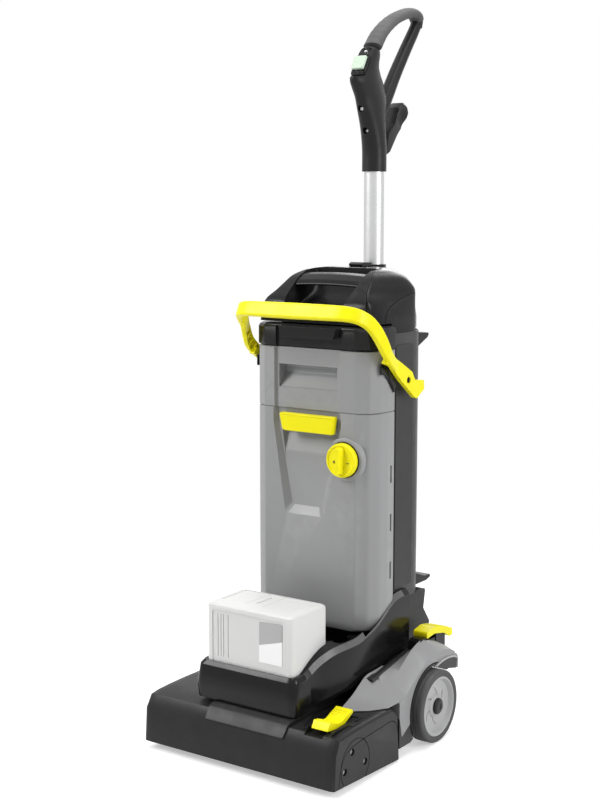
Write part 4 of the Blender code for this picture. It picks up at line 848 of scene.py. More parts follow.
def build_column():
    eased_copy("column_shell", "foot_grey", 0.0022)
    eased_copy("column_panel", "foot_grey", 0.0006)
    eased_copy("rear_hook_upper", "charcoal", 0.002)
    eased_copy("rear_hook_lower", "charcoal", 0.002)
    for tag, side in SIDES:
        plate = slab(round_box((0.27, 0.322), (0.23, 0.61), 0.006), "x", 0.1036, 0.1052)
        piece("column_side_panel_" + tag, sided(plate, side), "foot_grey", "upright", edge=0.0006)


HOOD_PLANS = [
    (0.6442, [(0.08, 0.196), (0.0925, 0.205), (0.102, 0.25), (0.104, 0.318), (0.098, 0.338), (0.076, 0.373),
              (0.055, 0.396)]),
    (0.674, [(0.078, 0.203), (0.088, 0.207), (0.097, 0.22), (0.103, 0.316), (0.097, 0.337), (0.075, 0.37),
              (0.052, 0.393)]),
    (0.69, [(0.07, 0.22), (0.078, 0.2225), (0.087, 0.234), (0.1015, 0.318), (0.095, 0.34), (0.075, 0.37),
              (0.05, 0.39)]),
    (0.7, [(0.066, 0.233), (0.074, 0.2355), (0.082, 0.246), (0.097, 0.318), (0.09, 0.338), (0.07, 0.366),
              (0.048, 0.385)]),
    (0.711, [(0.062, 0.248), (0.069, 0.251), (0.075, 0.261), (0.088, 0.312), (0.081, 0.335), (0.062, 0.358),
              (0.042, 0.378)]),
    (0.7175, [(0.056, 0.262), (0.062, 0.265), (0.067, 0.275), (0.076, 0.31), (0.07, 0.33), (0.054, 0.352),
              (0.034, 0.37)]),
    (0.7215, [(0.048, 0.275), (0.054, 0.278), (0.06, 0.287), (0.064, 0.308), (0.058, 0.326), (0.044, 0.345),
              (0.026, 0.36)]),
    (0.724, [(0.03, 0.3), (0.038, 0.302), (0.042, 0.306), (0.044, 0.313), (0.04, 0.322), (0.03, 0.332),
              (0.018, 0.342)])]
TUBE_LOW, TUBE_HIGH = machine_box("handle_tube")
COLLAR_BOX = machine_box("tube_collar")
TUBE_Y = (TUBE_LOW.y + TUBE_HIGH.y) / 2
TUBE_R = TUBE_HIGH.x


def build_hood():
    columns = [[Vector((x, y, height)) for x, y in mirrored(plan)] for height, plan in HOOD_PLANS]
    rings = [smooth_line(ring, 5, closed=True) for ring in columns]
    tracks = [smooth_line(track, 4) for track in zip(*rings)]
    hood = skin([list(ring) for ring in zip(*tracks)])
    foot_line = [(p.x, p.y) for p in rings[0]]
    foot = loft([foot_line, foot_line], "z", [COLUMN_HIGH.z + GAP, 0.6452])
    foot = cut(foot, block((-0.2, 0.2), (0.1, 0.26), (0.6, 0.6441)))
    boss = turned([(0.0, 0.7), (0.0225, 0.7), (0.0222, 0.718), (0.0212, 0.7202), (0.019, 0.7206),
                   (0.0, 0.7206)], "z", (0, TUBE_Y), 56)
    for side in (-1, 1):
        corners = [(0.0615, 0.238), (0.07, 0.242), (0.07, 0.276), (0.0615, 0.272)]
        corners = rounded([(side * x, y) for x, y in corners], 0.0015, 3)
        inner = [(side * 0.0658 + (x - side * 0.0658) * 0.84, 0.257 + (y - 0.257) * 0.95) for x, y in corners]
        frame_line = cut(slab(corners, "z", 0.66, 0.76), slab(inner, "z", 0.65, 0.77))
        hood = engraved(hood, frame_line, 0.0009)
        seam = smooth_line(((0.244, 0.643), (0.2455, 0.655), (0.253, 0.665), (0.265, 0.672),
                            (0.282, 0.678), (0.305, 0.683), (0.329, 0.688), (0.34, 0.689)), 4)
        seam = slab(ribbon(seam, 0.0012), "x", *sorted((side * 0.07, side * 0.12)))
        hood = engraved(hood, seam, 0.0012)
    hood = join(hood, foot, boss)
    scoop_levels = ((0.668, 0.052, 0.244, 0.01), (0.6745, 0.0545, 0.262, 0.012), (0.686, 0.057, 0.286, 0.01),
                    (0.7, 0.058, 0.296, 0.006), (0.76, 0.0582, 0.2985, 0.006))
    scoop = loft([round_box((-half, half), (0.15, rear), [0, 0, corner, corner])
                  for _, half, rear, corner in scoop_levels], "z", [row[0] for row in scoop_levels])
    inside = meet(slab([(0.268, 0.6), (0.268, 0.655), (0.302, 0.67), (0.332, 0.678), (0.342, 0.69),
                        (0.364, 0.688), (0.376, 0.668), (0.376, 0.6)], "x", -0.076, 0.076),
                  slab(mirrored([(0.076, 0.255), (0.076, 0.335), (0.055, 0.372), (0.04, 0.38)]), "z", 0.59, 0.7))
    hood = cut(hood, scoop, inside)
    side_line = rounded([(0.235, 0.7), (0.242, 0.7075), (0.255, 0.715), (0.267, 0.718), (0.267, 0.708),
                         (0.243, 0.698)], [0.0022, 0.008, 0.008, 0.002, 0.002, 0.003], 5)
    stations = (-0.06, -0.045, -0.025, 0.0, 0.025, 0.045, 0.06)
    bar = loft([[(y, z - 0.0022 * (x / 0.06) ** 2) for y, z in side_line] for x in stations], "x", stations)
    hood = join(hood, bar)
    tube_hole = rod("z", (0, TUBE_Y), TUBE_R + 0.0005, 0.6, 0.8, 48)
    collar_room = rod("z", (0, TUBE_Y), 0.022, 0.7205, 0.75, 48)
    hood = cut(hood, tube_hole, collar_room)
    piece("hood_moulded", hood, "hood_black", "upright", "hood", edge=0.001, angle=30)
    low, high = COLLAR_BOX[0].z, COLLAR_BOX[1].z
    collar = turned([(0.0205, low), (0.0205, low + 0.0012), (0.0198, low + 0.0018), (0.0198, high - 0.0018),
                     (0.0203, high - 0.0012), (0.0203, high - 0.0004), (0.0198, high), (TUBE_R + 0.0006, high),
                     (TUBE_R + 0.0006, low)], "z", (0, TUBE_Y), 64, closed=True)
    piece("tube_collar_moulded", collar, "charcoal", "upright", "tube_collar", edge=0.0002, segments=2)
    eased_copy("tube_latch", "shell_black", 0.001)


# ---- battery ----------------------------------------------------------------------------
def build_battery():
    half, front, back = BATTERY_HIGH.x, BATTERY_LOW.y, BATTERY_HIGH.y
    low, high = BATTERY_LOW.z, BATTERY_HIGH.z

    def plan(inset):
        return round_box((-half + inset, half - inset), (front + inset, back - inset), 0.009, 8)
    pack = loft([plan(inset) for inset in (0.0015, 0.0, 0.0, 0.0008, 0.0028, 0.0045)], "z",
                [low, low + 0.002, high - 0.005, high - 0.0022, high - 0.0004, high])
    face = slab(round_box((-0.066, 0.068), (low - 0.01, high - 0.009), [0, 0, 0.006, 0.006], 6), "y",
                front - 0.01, front + 0.0011)
    lid = slab(round_box((-0.069, 0.057), (front + 0.025, back - 0.006), 0.006, 6), "z", high - 0.001,
               high + 0.01)
    grooves = [slab(rectangle((x - 0.0007, x + 0.0007), (0.158, 0.223)), "y", front - 0.01, front + 0.0021)
               for x in (-0.056, -0.0505, -0.0458, -0.0372)]
    mark = slab([(-0.0135, 0.073), (-0.0095, 0.073), (-0.0095, 0.108), (-0.0125, 0.108)], "z", high - 0.003,
                high + 0.01)
    steps = [slab(rectangle((x - 0.0004, x + 0.0004), (front + 0.0243, back - 0.0053)), "z", high - 0.0018,
                  high + 0.01) for x in (-0.025, 0.006)]
    piece("battery_case", cut(pack, face, lid, *grooves, mark, *steps), "battery_pale", "battery", "battery_pack",
          edge=0.0003, segments=2, angle=24)
    left, right, badge_low, split_left, split_right = 0.02, 0.0612, 0.1625, 0.188, 0.199
    upper = slab(rounded([(left, split_left), (right, split_right), (right, 0.225), (left, 0.2225)],
                         [0, 0, 0.003, 0], 4), "y", front + 0.0003, front + 0.0013)
    lower = slab([(left, badge_low), (right, badge_low), (right, split_right - 0.0002), (left, split_left - 0.0002)],
                 "y", front + 0.0003, front + 0.0013)
    piece("battery_badge_upper", upper, "badge_grey", "battery", edge=0.0002, segments=2)
    piece("battery_badge_lower", lower, "badge_white", "battery", edge=0.0002, segments=2)


# ---- tanks ------------------------------------------------------------------------------
TANK_SEAM, TANK_TOP = machine_box("upper_tank")[0].z, machine_box("upper_tank")[1].z
LID_HIGH = machine_box("tank_lid")[1].z


def tank_plan(inset):
    half, front, rear = TANK_HALF - inset, TANK_FRONT + inset, TANK_REAR - inset
    corner = [(0.083 - inset * 0.4, front), (0.101 - inset * 0.8, front + 0.0105), (half - 0.0015, front + 0.028),
              (half, front + 0.046), (half, rear)]
    line = rounded([(0.06, front)] + corner, [0, 0.01, 0.014, 0.02, 0.01, 0.002], 6)
    return mirrored(line)


def side_slots():
    cutters = []
    for side in (-1, 1):
        inner, outer = sorted((side * (TANK_HALF - 0.0027), side * (TANK_HALF + 0.01)))
        for z_low, z_high in ((0.4035, 0.43), (0.329, 0.3555), (0.2545, 0.281)):
            cutters.append(slab(rectangle((0.2446, 0.2488), (z_low, z_high)), "x", inner, outer))
    return cutters


def build_tanks():
    bottom = TANK_LOW.z
    lower = loft([[(x * 0.955, 0.004 + y * 0.983) for x, y in tank_plan(0.003)],
                  [(x * 0.985, 0.002 + y * 0.991) for x, y in tank_plan(0.001)], tank_plan(0.0), tank_plan(0.0),
                  tank_plan(0.0012)], "z",
                 [bottom, bottom + 0.0035, bottom + 0.012, TANK_SEAM - GAP - 0.001, TANK_SEAM - GAP])
    room = slab(tank_plan(0.003), "z", bottom + 0.004, TANK_SEAM + 0.02)
    backing = slab([(-0.074, 0.53), (0.07, 0.53), (0.042, 0.344), (-0.052, 0.344)], "y", 0.17, 0.201)
    finger_back = slab(rectangle((-0.066, 0.062), (0.45, 0.49)), "y", 0.17, 0.211)
    outer = rounded([(-0.067, 0.53), (0.059, 0.53), (0.0588, 0.49), (0.027, 0.349), (-0.044, 0.349),
                     (-0.0665, 0.49)], [0, 0, 0.03, 0.007, 0.007, 0.03], 6)
    inner = rounded([(-0.063, 0.53), (0.051, 0.53), (0.0505, 0.49), (0.017, 0.362), (-0.035, 0.362),
                     (-0.0625, 0.49)], [0, 0, 0.03, 0.005, 0.005, 0.03], 6)
    wider = [((x + 0.004) * 1.07 - 0.004, 0.44 + (z - 0.44) * 1.08) for x, z in outer]
    recess = loft([wider, outer, inner], "y", [TANK_FRONT - 0.006, TANK_FRONT - 0.0001, TANK_FRONT + 0.0075])
    sloped = slab(rounded([(TANK_FRONT - 0.02, 0.479), (TANK_FRONT + 0.018, 0.479),
                           (TANK_FRONT + 0.015, 0.469), (TANK_FRONT + 0.008, 0.445), (TANK_FRONT + 0.0062, 0.4),
                           (TANK_FRONT - 0.02, 0.4)], [0, 0.003, 0.006, 0.02, 0, 0], 8), "x", -0.06, 0.056)
    deep = rounded([(-0.0545, 0.49), (0.0485, 0.49), (0.047, 0.47), (0.027, 0.39), (-0.04, 0.39),
                    (-0.0535, 0.47)], [0, 0, 0.01, 0, 0, 0.01], 6)
    finger = meet(sloped, slab(deep, "y", 0.15, 0.23))
    room = cut(room, backing, finger_back)
    boss = turned([(0.0, TANK_FRONT + 0.004), (0.0345, TANK_FRONT + 0.004), (0.033, TANK_FRONT - 0.001),
                   (0.0322, TANK_FRONT - 0.0034), (0.031, TANK_FRONT - 0.004), (0.0, TANK_FRONT - 0.004)], "y",
                  KNOB, 72)
    tab_room = slab(rectangle((-0.055, 0.056), (0.477, 0.53)), "y", 0.17, 0.1925)
    lower = cut(lower, room, recess)
    lower = cut(join(lower, boss), finger, meet(tab_room, slab(inner, "y", 0.15, 0.22)), *side_slots())
    piece("lower_tank_moulded", lower, "tank_grey", "tank_set", "lower_tank", edge=0.0009, angle=30)

    upper = loft([tank_plan(0.0014), tank_plan(0.0), tank_plan(0.0), tank_plan(0.0012)], "z",
                 [TANK_SEAM, TANK_SEAM + 0.0012, TANK_TOP - 0.001, TANK_TOP])
    upper_room = slab(tank_plan(0.003), "z", TANK_SEAM + 0.004, TANK_TOP + 0.02)
    pocket_back = slab(rectangle((-0.064, 0.055), (0.538, 0.584)), "y", 0.17, TANK_FRONT + 0.027)
    band = slab([(-0.0672, TANK_FRONT - 0.006), (-0.063, TANK_FRONT + 0.0045), (0.0525, TANK_FRONT + 0.0045),
                 (0.06, TANK_FRONT - 0.006)], "z", 0.4, 0.7)
    pocket = slab(rounded([(TANK_FRONT - 0.02, 0.5795), (TANK_FRONT + 0.005, 0.5795), (TANK_FRONT + 0.024, 0.5765),
                           (TANK_FRONT + 0.0225, 0.566), (TANK_FRONT + 0.0062, 0.544), (TANK_FRONT - 0.02, 0.544)],
                          [0, 0.002, 0.006, 0.01, 0.003, 0], 6), "x", -0.0585, 0.048)
    band_back = slab(rectangle((-0.072, 0.064), (TANK_SEAM - 0.01, TANK_TOP + 0.02)), "y", 0.17, TANK_FRONT + 0.0078)
    upper = cut(upper, cut(upper_room, pocket_back, band_back), band, pocket,
                rod("z", (0.06, 0.235), 0.01, 0.5, 0.53, 32))
    piece("upper_tank_moulded", upper, "tank_grey", "tank_set", "upper_tank", edge=0.0009, angle=30)

    lid_low = machine_box("tank_lid")[0].z
    lid = loft([tank_plan(0.0006), tank_plan(-0.001), tank_plan(-0.001), tank_plan(0.001), tank_plan(0.005)], "z",
               [lid_low, lid_low + 0.0015, LID_HIGH - 0.006, LID_HIGH - 0.0022, LID_HIGH])
    lid = cut(lid, slab(tank_plan(0.008), "z", TANK_TOP - 0.01, LID_HIGH - 0.004),
              slab([(-0.062, TANK_FRONT - 0.006), (-0.0605, TANK_FRONT + 0.0032), (0.056, TANK_FRONT + 0.0032),
                    (0.06, TANK_FRONT - 0.006)], "z", 0.59, LID_HIGH - 0.003))
    piece("tank_lid_moulded", lid, "lid_black", "tank_set", "tank_lid", edge=0.0008, angle=30)
    back_line = [(-0.047, 0.6245), (0.053, 0.6245), (0.059, 0.64), (-0.052, 0.64)]
    front_line = [(-0.044, 0.6225), (0.05, 0.6225), (0.056, 0.639), (-0.049, 0.639)]
    lip = loft([rounded(line, [0.002, 0.002, 0.0015, 0.0015], 4) for line in (back_line, front_line)], "y",
               [TANK_FRONT + 0.002, TANK_FRONT - 0.0118])
    scallop = slab(rounded([(TANK_FRONT - 0.03, 0.61), (TANK_FRONT - 0.0085, 0.622), (TANK_FRONT + 0.0035, 0.63),
                            (TANK_FRONT + 0.0035, 0.61)], [0, 0.003, 0.004, 0], 6), "x", -0.04, 0.045)
    piece("lid_pull", cut(lip, scallop), "lid_black", "tank_set", edge=0.0009)
    for tag, side in SIDES[::-1]:
        seat = TANK_HALF + GAP
        clip = slab(rounded([(0.212, 0.588), (0.246, 0.586), (0.256, 0.552), (0.25, 0.54), (0.234, 0.56),
                             (0.223, 0.571), (0.212, 0.571)], 0.002, 4), "x", seat, seat + 0.0022)
        rise = slab(rounded([(0.23, 0.583), (0.243, 0.583), (0.253, 0.552), (0.248, 0.544), (0.237, 0.56),
                             (0.231, 0.574)], 0.002, 4), "x", seat + 0.001, seat + 0.0036)
        clip = join(clip, rise)
        piece("bail_clip_%s_moulded" % tag, sided(clip, side), "shell_black", "tank_set",
              "bail_clip_" + tag, edge=0.0007)
    for name, look in (("tank_plug", "blade_rubber"), ("float_valve", "battery_pale")):
        refinish(name, look)


def build_tab():
    low, high = machine_box("release_tab")
    outline = rounded([(-0.045, 0.4785), (0.047, 0.4785), (0.0505, high.z), (-0.051, high.z)],
                      [0.007, 0.003, 0.0015, 0.002], 8)
    tab = loft([outline, [((x + 0.0005) * 0.995 - 0.0005, z) for x, z in outline],
                [((x + 0.0005) * 0.975 - 0.0005, 0.4922 + (z - 0.4922) * 0.93) for x, z in outline]],
               "y", [high.y, low.y + 0.0028, low.y])
    groove = slab([(0.175, 0.503), (0.1829, 0.503), (0.1829, 0.5022), (0.175, 0.5022)], "x", -0.044, 0.045)
    piece("release_tab_moulded", cut(tab, groove), "yellow", "tank_tab", "release_tab", edge=0.0012, segments=4)


KNOB_BOX = machine_box("dosing_knob")
KNOB = ((KNOB_BOX[0].x + KNOB_BOX[1].x) / 2, (KNOB_BOX[0].z + KNOB_BOX[1].z) / 2)
KNOB_R = (KNOB_BOX[1].x - KNOB_BOX[0].x) / 2


def build_knob():
    back, out = KNOB_BOX[1].y, KNOB_BOX[0].y
    dial = turned([(0.0, back), (KNOB_R, back), (KNOB_R, back - 0.007), (KNOB_R - 0.0004, back - 0.0084),
                   (KNOB_R - 0.0014, back - 0.0096), (KNOB_R - 0.0028, back - 0.01), (KNOB_R - 0.0042, back - 0.0094),
                   (KNOB_R - 0.005, back - 0.0084), (0.012, back - 0.0078), (0.0, back - 0.0078)], "y", KNOB, 96)
    low_ridge, top_ridge = (
        rounded([(KNOB[0] + x, KNOB[1] + z) for x, z in line], radius)
        for radius, line in ((0.004, ((-0.0085, -0.021), (0.006, -0.021), (0.0075, 0.021), (-0.0075, 0.021))),
                             (0.0022, ((-0.003, -0.019), (0.0026, -0.019), (0.0032, 0.019), (-0.003, 0.019)))))
    ridge = loft([low_ridge, top_ridge], "y", [back - 0.006, out + 0.0002])
    piece("dosing_knob_moulded", join(dial, ridge), "yellow", "knob", "dosing_knob", edge=0.0008, angle=30)

    def stroke(left, right, low, high):
        return slab(rectangle((left, right), (low, high)), "y", back - 0.009, back - 0.0079)
    x, z = KNOB[0] - 0.0115, KNOB[1] - 0.003
    plus = join(stroke(x - 0.0022, x + 0.0022, z - 0.0006, z + 0.0006),
                stroke(x - 0.0006, x + 0.0006, z - 0.0022, z + 0.0022))
    piece("knob_plus", plus, "mark_dark", "knob")
    minus = stroke(KNOB[0] + 0.0108, KNOB[0] + 0.0148, KNOB[1] - 0.0036, KNOB[1] - 0.0024)
    piece("knob_minus", minus, "mark_dark", "knob")
    ring = turned([(KNOB_R + 0.0002, back + 0.0002), (KNOB_R + 0.0016, back + 0.0002), (KNOB_R + 0.0014, back - 0.0012),
                   (KNOB_R + 0.0002, back - 0.0012)], "y", KNOB, 72, closed=True)
    piece("knob_seal", ring, "dark_inside", "tank_set")


BAIL_PATH = [(0.0, 0.147, 0.666), (0.05, 0.147, 0.666), (0.088, 0.149, 0.6655), (0.106, 0.158, 0.662),
             (0.115, 0.172, 0.654), (0.119, 0.185, 0.643), (0.1235, 0.196, 0.627), (0.1262, 0.208, 0.608),
             (0.1245, 0.223, 0.594), (0.1215, 0.241, 0.5822)]
BAIL_PIVOT = (0.277, 0.558)


def build_bail():
    path = smooth_line([(-x, y, z) for x, y, z in reversed(BAIL_PATH[1:])] + BAIL_PATH, 7)
    last = len(path) - 1
    stops = [(float(i), 0.0002) for i in range(last + 1)]
    for first in (2, 6, 10, 14, 18):
        for start in (first, last - first - 3):
            stops = [(t, d) for t, d in stops if not start <= t <= start + 3]
            stops += [(start, 0.0002), (start + 0.25, 0.0046), (start + 1.5, 0.0046), (start + 2.75, 0.0046),
                      (start + 3.0, 0.0002)]
    rings = []
    for t, deep in sorted(stops):
        i = min(int(t), last - 1)
        place = path[i].lerp(path[i + 1], t - i)
        ahead = (path[min(i + 2, last)] - path[max(i - 1, 0)]).normalized()
        outward = Vector((ahead.y, -ahead.x, 0.45 * abs(ahead.x))).normalized()
        across = ahead.cross(outward).normalized()
        outward = across.cross(ahead)
        tall = 0.012 - 0.003 * abs(1 - 2 * t / last)
        inner = tall - 0.0018
        section = rounded([(-tall, 0.0042), (-tall, -0.0042), (-inner, -0.0042), (-inner, deep - 0.0042),
                           (inner, deep - 0.0042), (inner, -0.0042), (tall, -0.0042), (tall, 0.0042)],
                          [0.0036, 0.0006, 0, 0, 0, 0, 0.0006, 0.0036], 5)
        rings.append([place + across * a + outward * b for a, b in section])
    bail = skin(rings)
    foot = slab(rounded([(0.208, 0.5895), (0.216, 0.599), (0.233, 0.595), (0.24, 0.586), (0.235, 0.58),
                         (0.225, 0.584)], 0.001, 3), "x", 0.1172, 0.1262)
    other = flipped(foot.copy())
    for tool in (foot, other):
        bail = join(bail, tool)
    plate = rounded([(0.23, 0.58), (0.24, 0.594), (0.262, 0.583), (0.288, 0.569), (0.296, 0.556),
                     (0.322, 0.554), (0.324, 0.54), (0.3, 0.526), (0.254, 0.56)],
                    [0.003, 0.004, 0.004, 0.006, 0.006, 0.003, 0.003, 0.01, 0.008], 5)
    ear = cut(slab(plate, "x", 0.1168, 0.1236), rod("x", BAIL_PIVOT, 0.003, 0.1, 0.14, 28),
              rod("x", BAIL_PIVOT, 0.0056, 0.1222, 0.14, 36))
    other = flipped(ear.copy())
    bail = join(bail, other, ear)
    piece("bail_moulded", bail, "yellow", "bail", "bail_handle", edge=0.0012, angle=34)
    for tag, side in SIDES:
        pin = turned([(0.0, side * 0.1124), (0.0027, side * 0.1124), (0.0027, side * 0.1222), (0.0046, side * 0.1224),
                      (0.0042, side * 0.1232), (0.0, side * 0.1234)], "x", BAIL_PIVOT, 32)
        piece("bail_pin_" + tag, pin, "dark_inside", "tank_set")


# ---- telescopic handle ------------------------------------------------------------------
HANDLE_BODY = [(0.872, 0.371, 0.0203, 0.0203), (0.902, 0.371, 0.0203, 0.0203), (0.925, 0.369, 0.0225, 0.0198),
               (0.947, 0.3655, 0.0265, 0.019), (0.966, 0.3625, 0.0325, 0.0185), (0.985, 0.3598, 0.038, 0.018),
               (0.998, 0.353, 0.0405, 0.0175), (1.01, 0.347, 0.041, 0.0172), (1.023, 0.344, 0.035, 0.0168),
               (1.035, 0.346, 0.028, 0.0165), (1.051, 0.354, 0.0215, 0.0162), (1.06, 0.358, 0.016, 0.014),
               (1.064, 0.36, 0.008, 0.008)]
SEAM = [(0.376, 0.8), (0.375, 0.902), (0.373, 0.935), (0.362, 0.964), (0.345, 0.988),
        (0.346, 1.01), (0.356, 1.04), (0.364, 1.056), (0.366, 1.1)]
CABLE_HORN = [(0.385, 0.895), (0.397, 0.901), (0.42, 0.93), (0.448, 0.956), (0.4565, 0.968),
              (0.452, 0.978), (0.44, 0.983), (0.426, 0.974), (0.412, 0.948), (0.392, 0.93)]
GRIP_PATH = [(0, 0.364, 1.064), (0, 0.385, 1.087), (0, 0.4185, 1.1085), (0, 0.456, 1.1225),
             (0, 0.479, 1.1262), (0, 0.493, 1.1235), (0, 0.4985, 1.117)]
STRUT_PATH = [(0, 0.383, 0.96), (0, 0.404, 0.988), (0, 0.429, 1.024), (0, 0.46, 1.064),
              (0, 0.49, 1.101), (0, 0.499, 1.116)]


def oval(wide, thick, steps=28):
    return [(wide * cos(2 * pi * k / steps), thick * sin(2 * pi * k / steps)) for k in range(steps)]


def build_handle():
    tube = turned([(TUBE_R, TUBE_LOW.z), (TUBE_R, TUBE_HIGH.z), (TUBE_R - 0.0015, TUBE_HIGH.z),
                   (TUBE_R - 0.0015, TUBE_LOW.z)], "z", (0, TUBE_Y), 72, closed=True)
    piece("handle_tube_drawn", tube, "brushed_tube", "handle", "handle_tube", edge=0.0004, segments=2)
    levels = smooth_line([(z, y, deep) for z, y, deep, _ in HANDLE_BODY], 5)
    widths = smooth_line([(z, half) for z, _, _, half in HANDLE_BODY], 5)
    body = skin([[Vector((0.94 * w.y * cos(2 * pi * k / 48), p.y + p.z * sin(2 * pi * k / 48), p.x))
                  for k in range(48)] for p, w in zip(levels, widths)])
    strut = sweep(smooth_line(STRUT_PATH, 6), (1, 0, 0), lambda t: oval(0.0125 - 0.0035 * t, 0.0105 - 0.002 * t))
    horn = loft([[(0.418 + (y - 0.418) * s, 0.94 + (z - 0.94) * s) for y, z in rounded(CABLE_HORN, 0.006, 5)]
                 for s in (0.93, 1.0, 1.0, 0.93)], "x", [-0.0125, -0.0095, 0.0095, 0.0125])
    dish = [turned([(0.0, side * 0.0092), (0.01, side * 0.01), (0.0165, side * 0.013), (0.0165, side * 0.02),
                    (0.0, side * 0.02)], "x", (0.433, 0.956), 40) for side in (-1, 1)]
    horn = cut(horn, *dish)
    whole = join(body, horn, strut)
    socket = rod("z", (0, TUBE_Y), TUBE_R + GAP, 0.8, 0.9603, 56)
    seat = slab([(0.318, 1.01), (0.348, 1.06), (0.32, 1.08), (0.28, 1.03)], "x", -0.03, 0.03)
    front_room = slab([(0.2, 0.8)] + SEAM + [(0.2, 1.1)], "x", -0.05, 0.05)
    rear_room = slab([(y - GAP, z) for y, z in SEAM] + [(0.6, 1.2), (0.6, 0.8)], "x", -0.05, 0.05)
    grip_line = smooth_line(GRIP_PATH, 6)
    room_line = list(grip_line)
    room_line[0] = grip_line[0] + (grip_line[0] - grip_line[1]).normalized() * 0.0006
    room_line[-1] = grip_line[-1] + (grip_line[-1] - grip_line[-2]).normalized() * 0.0006
    grip_room = sweep(room_line, (1, 0, 0), lambda t: oval(0.0169 - 0.004 * t, 0.0104 - 0.0015 * t))
    whole = cut(whole, socket, seat, grip_room)
    rear = cut(whole.copy(), front_room)
    seats = [rod("y", (0.0, 0.935), 0.005, 0.33, 0.3512, 32), rod("y", (0.0, 0.968), 0.005, 0.31, 0.3352, 32)]
    fore = cut(whole, rear_room, *seats)
    piece("handle_rear_moulded", rear, "charcoal", "handle", "handle_shell_rear", edge=0.0007, angle=34)
    piece("handle_front_moulded", fore, "charcoal", "handle", "handle_shell_front", edge=0.0007, angle=34)
    screw("handle_screw_1", "handle", ((0.0, 0.935), 0.3511), "y", 0.0037, -1)
    screw("handle_screw_2", "handle", ((0.0, 0.968), 0.3351), "y", 0.0037, -1)
    nose = turned([(0.0, 0.356), (0.0088, 0.356), (0.0082, 0.348), (0.0066, 0.3455), (0.0048, 0.3448),
                   (0.0048, 0.3465), (0.0, 0.3465)], "y", (0.0, 1.0545), 40)
    piece("switch_top_boss", nose, "charcoal", "handle", edge=0.0005)
    screw("handle_screw_3", "handle", ((0.0, 1.0545), 0.3464), "y", 0.0036, -1)

    def grip_section(t):
        swell = 1.0 - 0.05 * (0.5 + 0.5 * cos(34 * pi * t)) * (1 if 0.04 < t < 0.92 else 0)
        return oval((0.0165 - 0.004 * t) * (0.97 + 0.03 * swell), (0.0096 - 0.0015 * t) * swell, 36)
    piece("grip_moulded", sweep(smooth_line(GRIP_PATH, 22), (1, 0, 0), grip_section), "grip_rubber", "handle",
          "grip_sleeve", edge=0.0012)
    wedge = slab(rounded([(0.489, 1.101), (0.4995, 1.104), (0.503, 1.116), (0.496, 1.1185)], 0.002, 4), "x",
                 -0.0098, 0.0098)
    piece("grip_end_clip", wedge, "shell_black", "handle", edge=0.0012)


def build_switch():
    ahead = Vector((0, 0.024, 0.04)).normalized()
    out = Vector((0, -ahead.z, ahead.y))
    centre = Vector((0, 0.332, 1.0335))

    def pad(levels, radius):
        return skin([[centre + Vector((x, 0, 0)) + ahead * a + out * level
                      for x, a in round_box((-wide, wide), (-tall, tall), radius, 6)]
                     for wide, tall, level in levels])
    base = join(pad([(0.0135, 0.0185, 0.0006), (0.0133, 0.0182, 0.0026)], 0.004),
                pad([(0.0126, 0.0165, 0.002), (0.0124, 0.0162, 0.004)], 0.004),
                pad([(0.0118, 0.014, 0.003), (0.0116, 0.0136, 0.005)], 0.004))
    piece("switch_base_moulded", base, "shell_black", "handle", "switch_base", edge=0.0005)
    rocker = pad([(0.011, 0.012, 0.006), (0.011, 0.012, 0.0086), (0.0104, 0.0113, 0.01),
                  (0.009, 0.0098, 0.0105)], 0.0035)
    piece("switch_pad", rocker, "pad_green", "switch", "switch_rocker", edge=0.0004)


def build_hidden():
    """Pieces inside or under the machine keep their CAD shape and get a proper finish."""
    for name, look in (("water_bar", "hose_ribbed"), ("roller_pulley", "steel"), ("brush_motor", "steel"),
                       ("motor_pulley", "steel"), ("drive_belt", "blade_rubber"), ("axle", "steel"),
                       ("water_pump", "shell_black"), ("suction_turbine", "steel"), ("suction_hose", "hose_ribbed"),
                       ("control_board", "board_green"), ("front_squeegee_blade", "blade_rubber"),
                       ("rear_squeegee_blade", "blade_rubber")):
        refinish(name, look)
    for name, edge in (("front_squeegee_holder", 0.0008), ("rear_squeegee_holder", 0.0008), ("chassis", 0.001),
                       ("motor_cover", 0.0006)):
        eased_copy(name, "charcoal", edge)


# ---- stage ------------------------------------------------------------------------------
ROOM_LIGHT = 0.26
FLOOR_GLOW = 0.45
FADE_START, FADE_END = 0.45, 1.3


def seen_rays(tree):
    """One for camera, glossy and transmission rays, nought for the rays that light the object."""
    path = add(tree, "LightPath")
    seen = calc(tree, "MAXIMUM", path.outputs["Is Camera Ray"], path.outputs["Is Glossy Ray"])
    return calc(tree, "MAXIMUM", seen, path.outputs["Is Transmission Ray"])


def mix_shader(tree, share, first, second, output):
    """Two shaders mixed by a socket's value and sent to the output."""
    mixed = add(tree, "MixShader")
    for socket, source in zip(mixed.inputs, (share, first.outputs[0], second.outputs[0])):
        tree.links.new(source, socket)
    tree.links.new(mixed.outputs[0], output.inputs["Surface"])


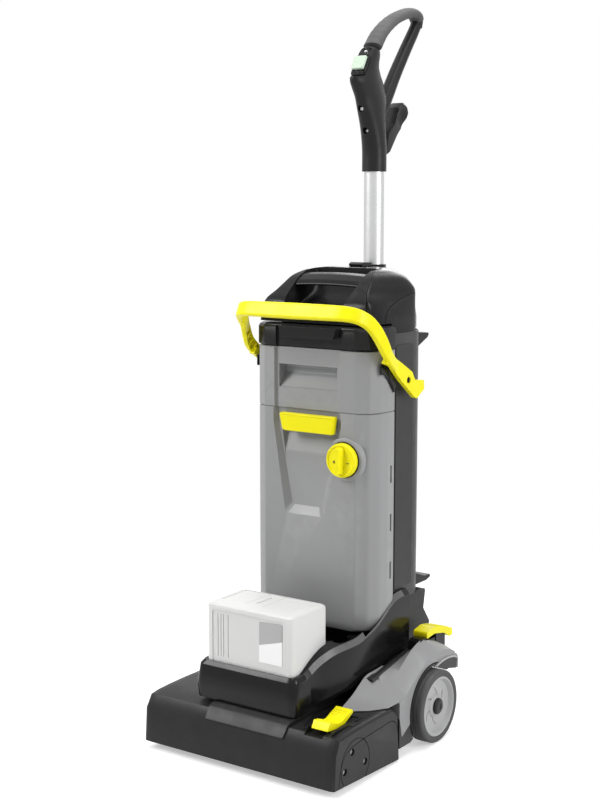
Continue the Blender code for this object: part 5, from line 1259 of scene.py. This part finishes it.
def build_stage():
    world = bpy.data.worlds.new("studio")
    world.use_nodes = True
    bpy.context.scene.world = world
    tree = world.node_tree
    plain = tree.nodes["Background"]
    plain.inputs["Color"].default_value = (1, 1, 1, 1)
    plain.inputs["Strength"].default_value = ROOM_LIGHT
    white = add(tree, "Background")
    white.inputs["Strength"].default_value = 1.0
    white.inputs["Color"].default_value = (1, 1, 1, 1)
    mix_shader(tree, seen_rays(tree), plain, white, tree.nodes["World Output"])

    bm = bmesh.new()
    bmesh.ops.create_grid(bm, x_segments=8, y_segments=8, size=14.0)
    floor = as_object(bm, "floor")
    mat = bpy.data.materials.new("pale_floor")
    mat.use_nodes = True
    tree = mat.node_tree
    shader = tree.nodes["Principled BSDF"]
    shader.inputs["Base Color"].default_value = (0.8, 0.8, 0.8, 1)
    shader.inputs["Roughness"].default_value = 0.9
    shader.inputs["Specular IOR Level"].default_value = 0.0
    shader.inputs["Emission Color"].default_value = (1, 1, 1, 1)
    seen = seen_rays(tree)
    tree.links.new(calc(tree, "MULTIPLY", seen, FLOOR_GLOW), shader.inputs["Emission Strength"])
    coords = add(tree, "TexCoord")
    far = add(tree, "VectorMath", operation="LENGTH")
    tree.links.new(coords.outputs["Object"], far.inputs[0])
    far = spread(tree, far.outputs["Value"], FADE_START, FADE_END)
    backdrop = add(tree, "Emission")
    backdrop.inputs["Strength"].default_value = 1.0
    mix_shader(tree, calc(tree, "MULTIPLY", seen, far), shader, backdrop, tree.nodes["Material Output"])
    floor.data.materials.append(mat)

    def lamp(name, place, aim, power, size):
        data = bpy.data.lights.new(name, "AREA")
        data.shape = "RECTANGLE"
        data.size, data.size_y = size
        data.energy = power
        obj = bpy.data.objects.new(name, data)
        bpy.context.scene.collection.objects.link(obj)
        obj.location = place
        obj.rotation_mode = "QUATERNION"
        obj.rotation_quaternion = (Vector(aim) - Vector(place)).to_track_quat("-Z", "Y")
    lamp("soft_box_left", (-1.8, -1.9, 2.2), (0, 0, 0.65), 70, (1.2, 1.6))
    lamp("soft_box_right", (2.6, 0.1, 1.5), (0, 0, 0.45), 44, (0.8, 2.0))
    lamp("soft_box_top", (0.2, -0.1, 3.0), (0, 0, 0.4), 44, (1.8, 1.8))
    lamp("soft_box_rear", (-0.8, 2.6, 1.8), (0, 0, 0.6), 24, (1.8, 1.6))

    data = bpy.data.cameras.new("camera")
    data.lens = 65.15
    data.sensor_width = 36
    data.clip_end = 100
    camera = bpy.data.objects.new("camera", data)
    bpy.context.scene.collection.objects.link(camera)
    camera.location = (1.2358, -1.5958 + FRONT, 0.8341)
    turn, dip = radians(35.04), radians(8.03)
    look = Vector((-sin(turn) * cos(dip), cos(turn) * cos(dip), -sin(dip)))
    camera.rotation_mode = "QUATERNION"
    camera.rotation_quaternion = look.to_track_quat("-Z", "Y")
    bpy.context.scene.camera = camera
    bpy.context.scene.view_settings.view_transform = "Standard"


build_stage()
make_groups()
make_finishes()
build_head()
build_rocker()
build_brush()
build_sides()
build_wheels()
build_pedal()
build_cradle()
build_column()
build_hood()
build_battery()
build_tanks()
build_tab()
build_knob()
build_bail()
build_handle()
build_switch()
build_hidden()
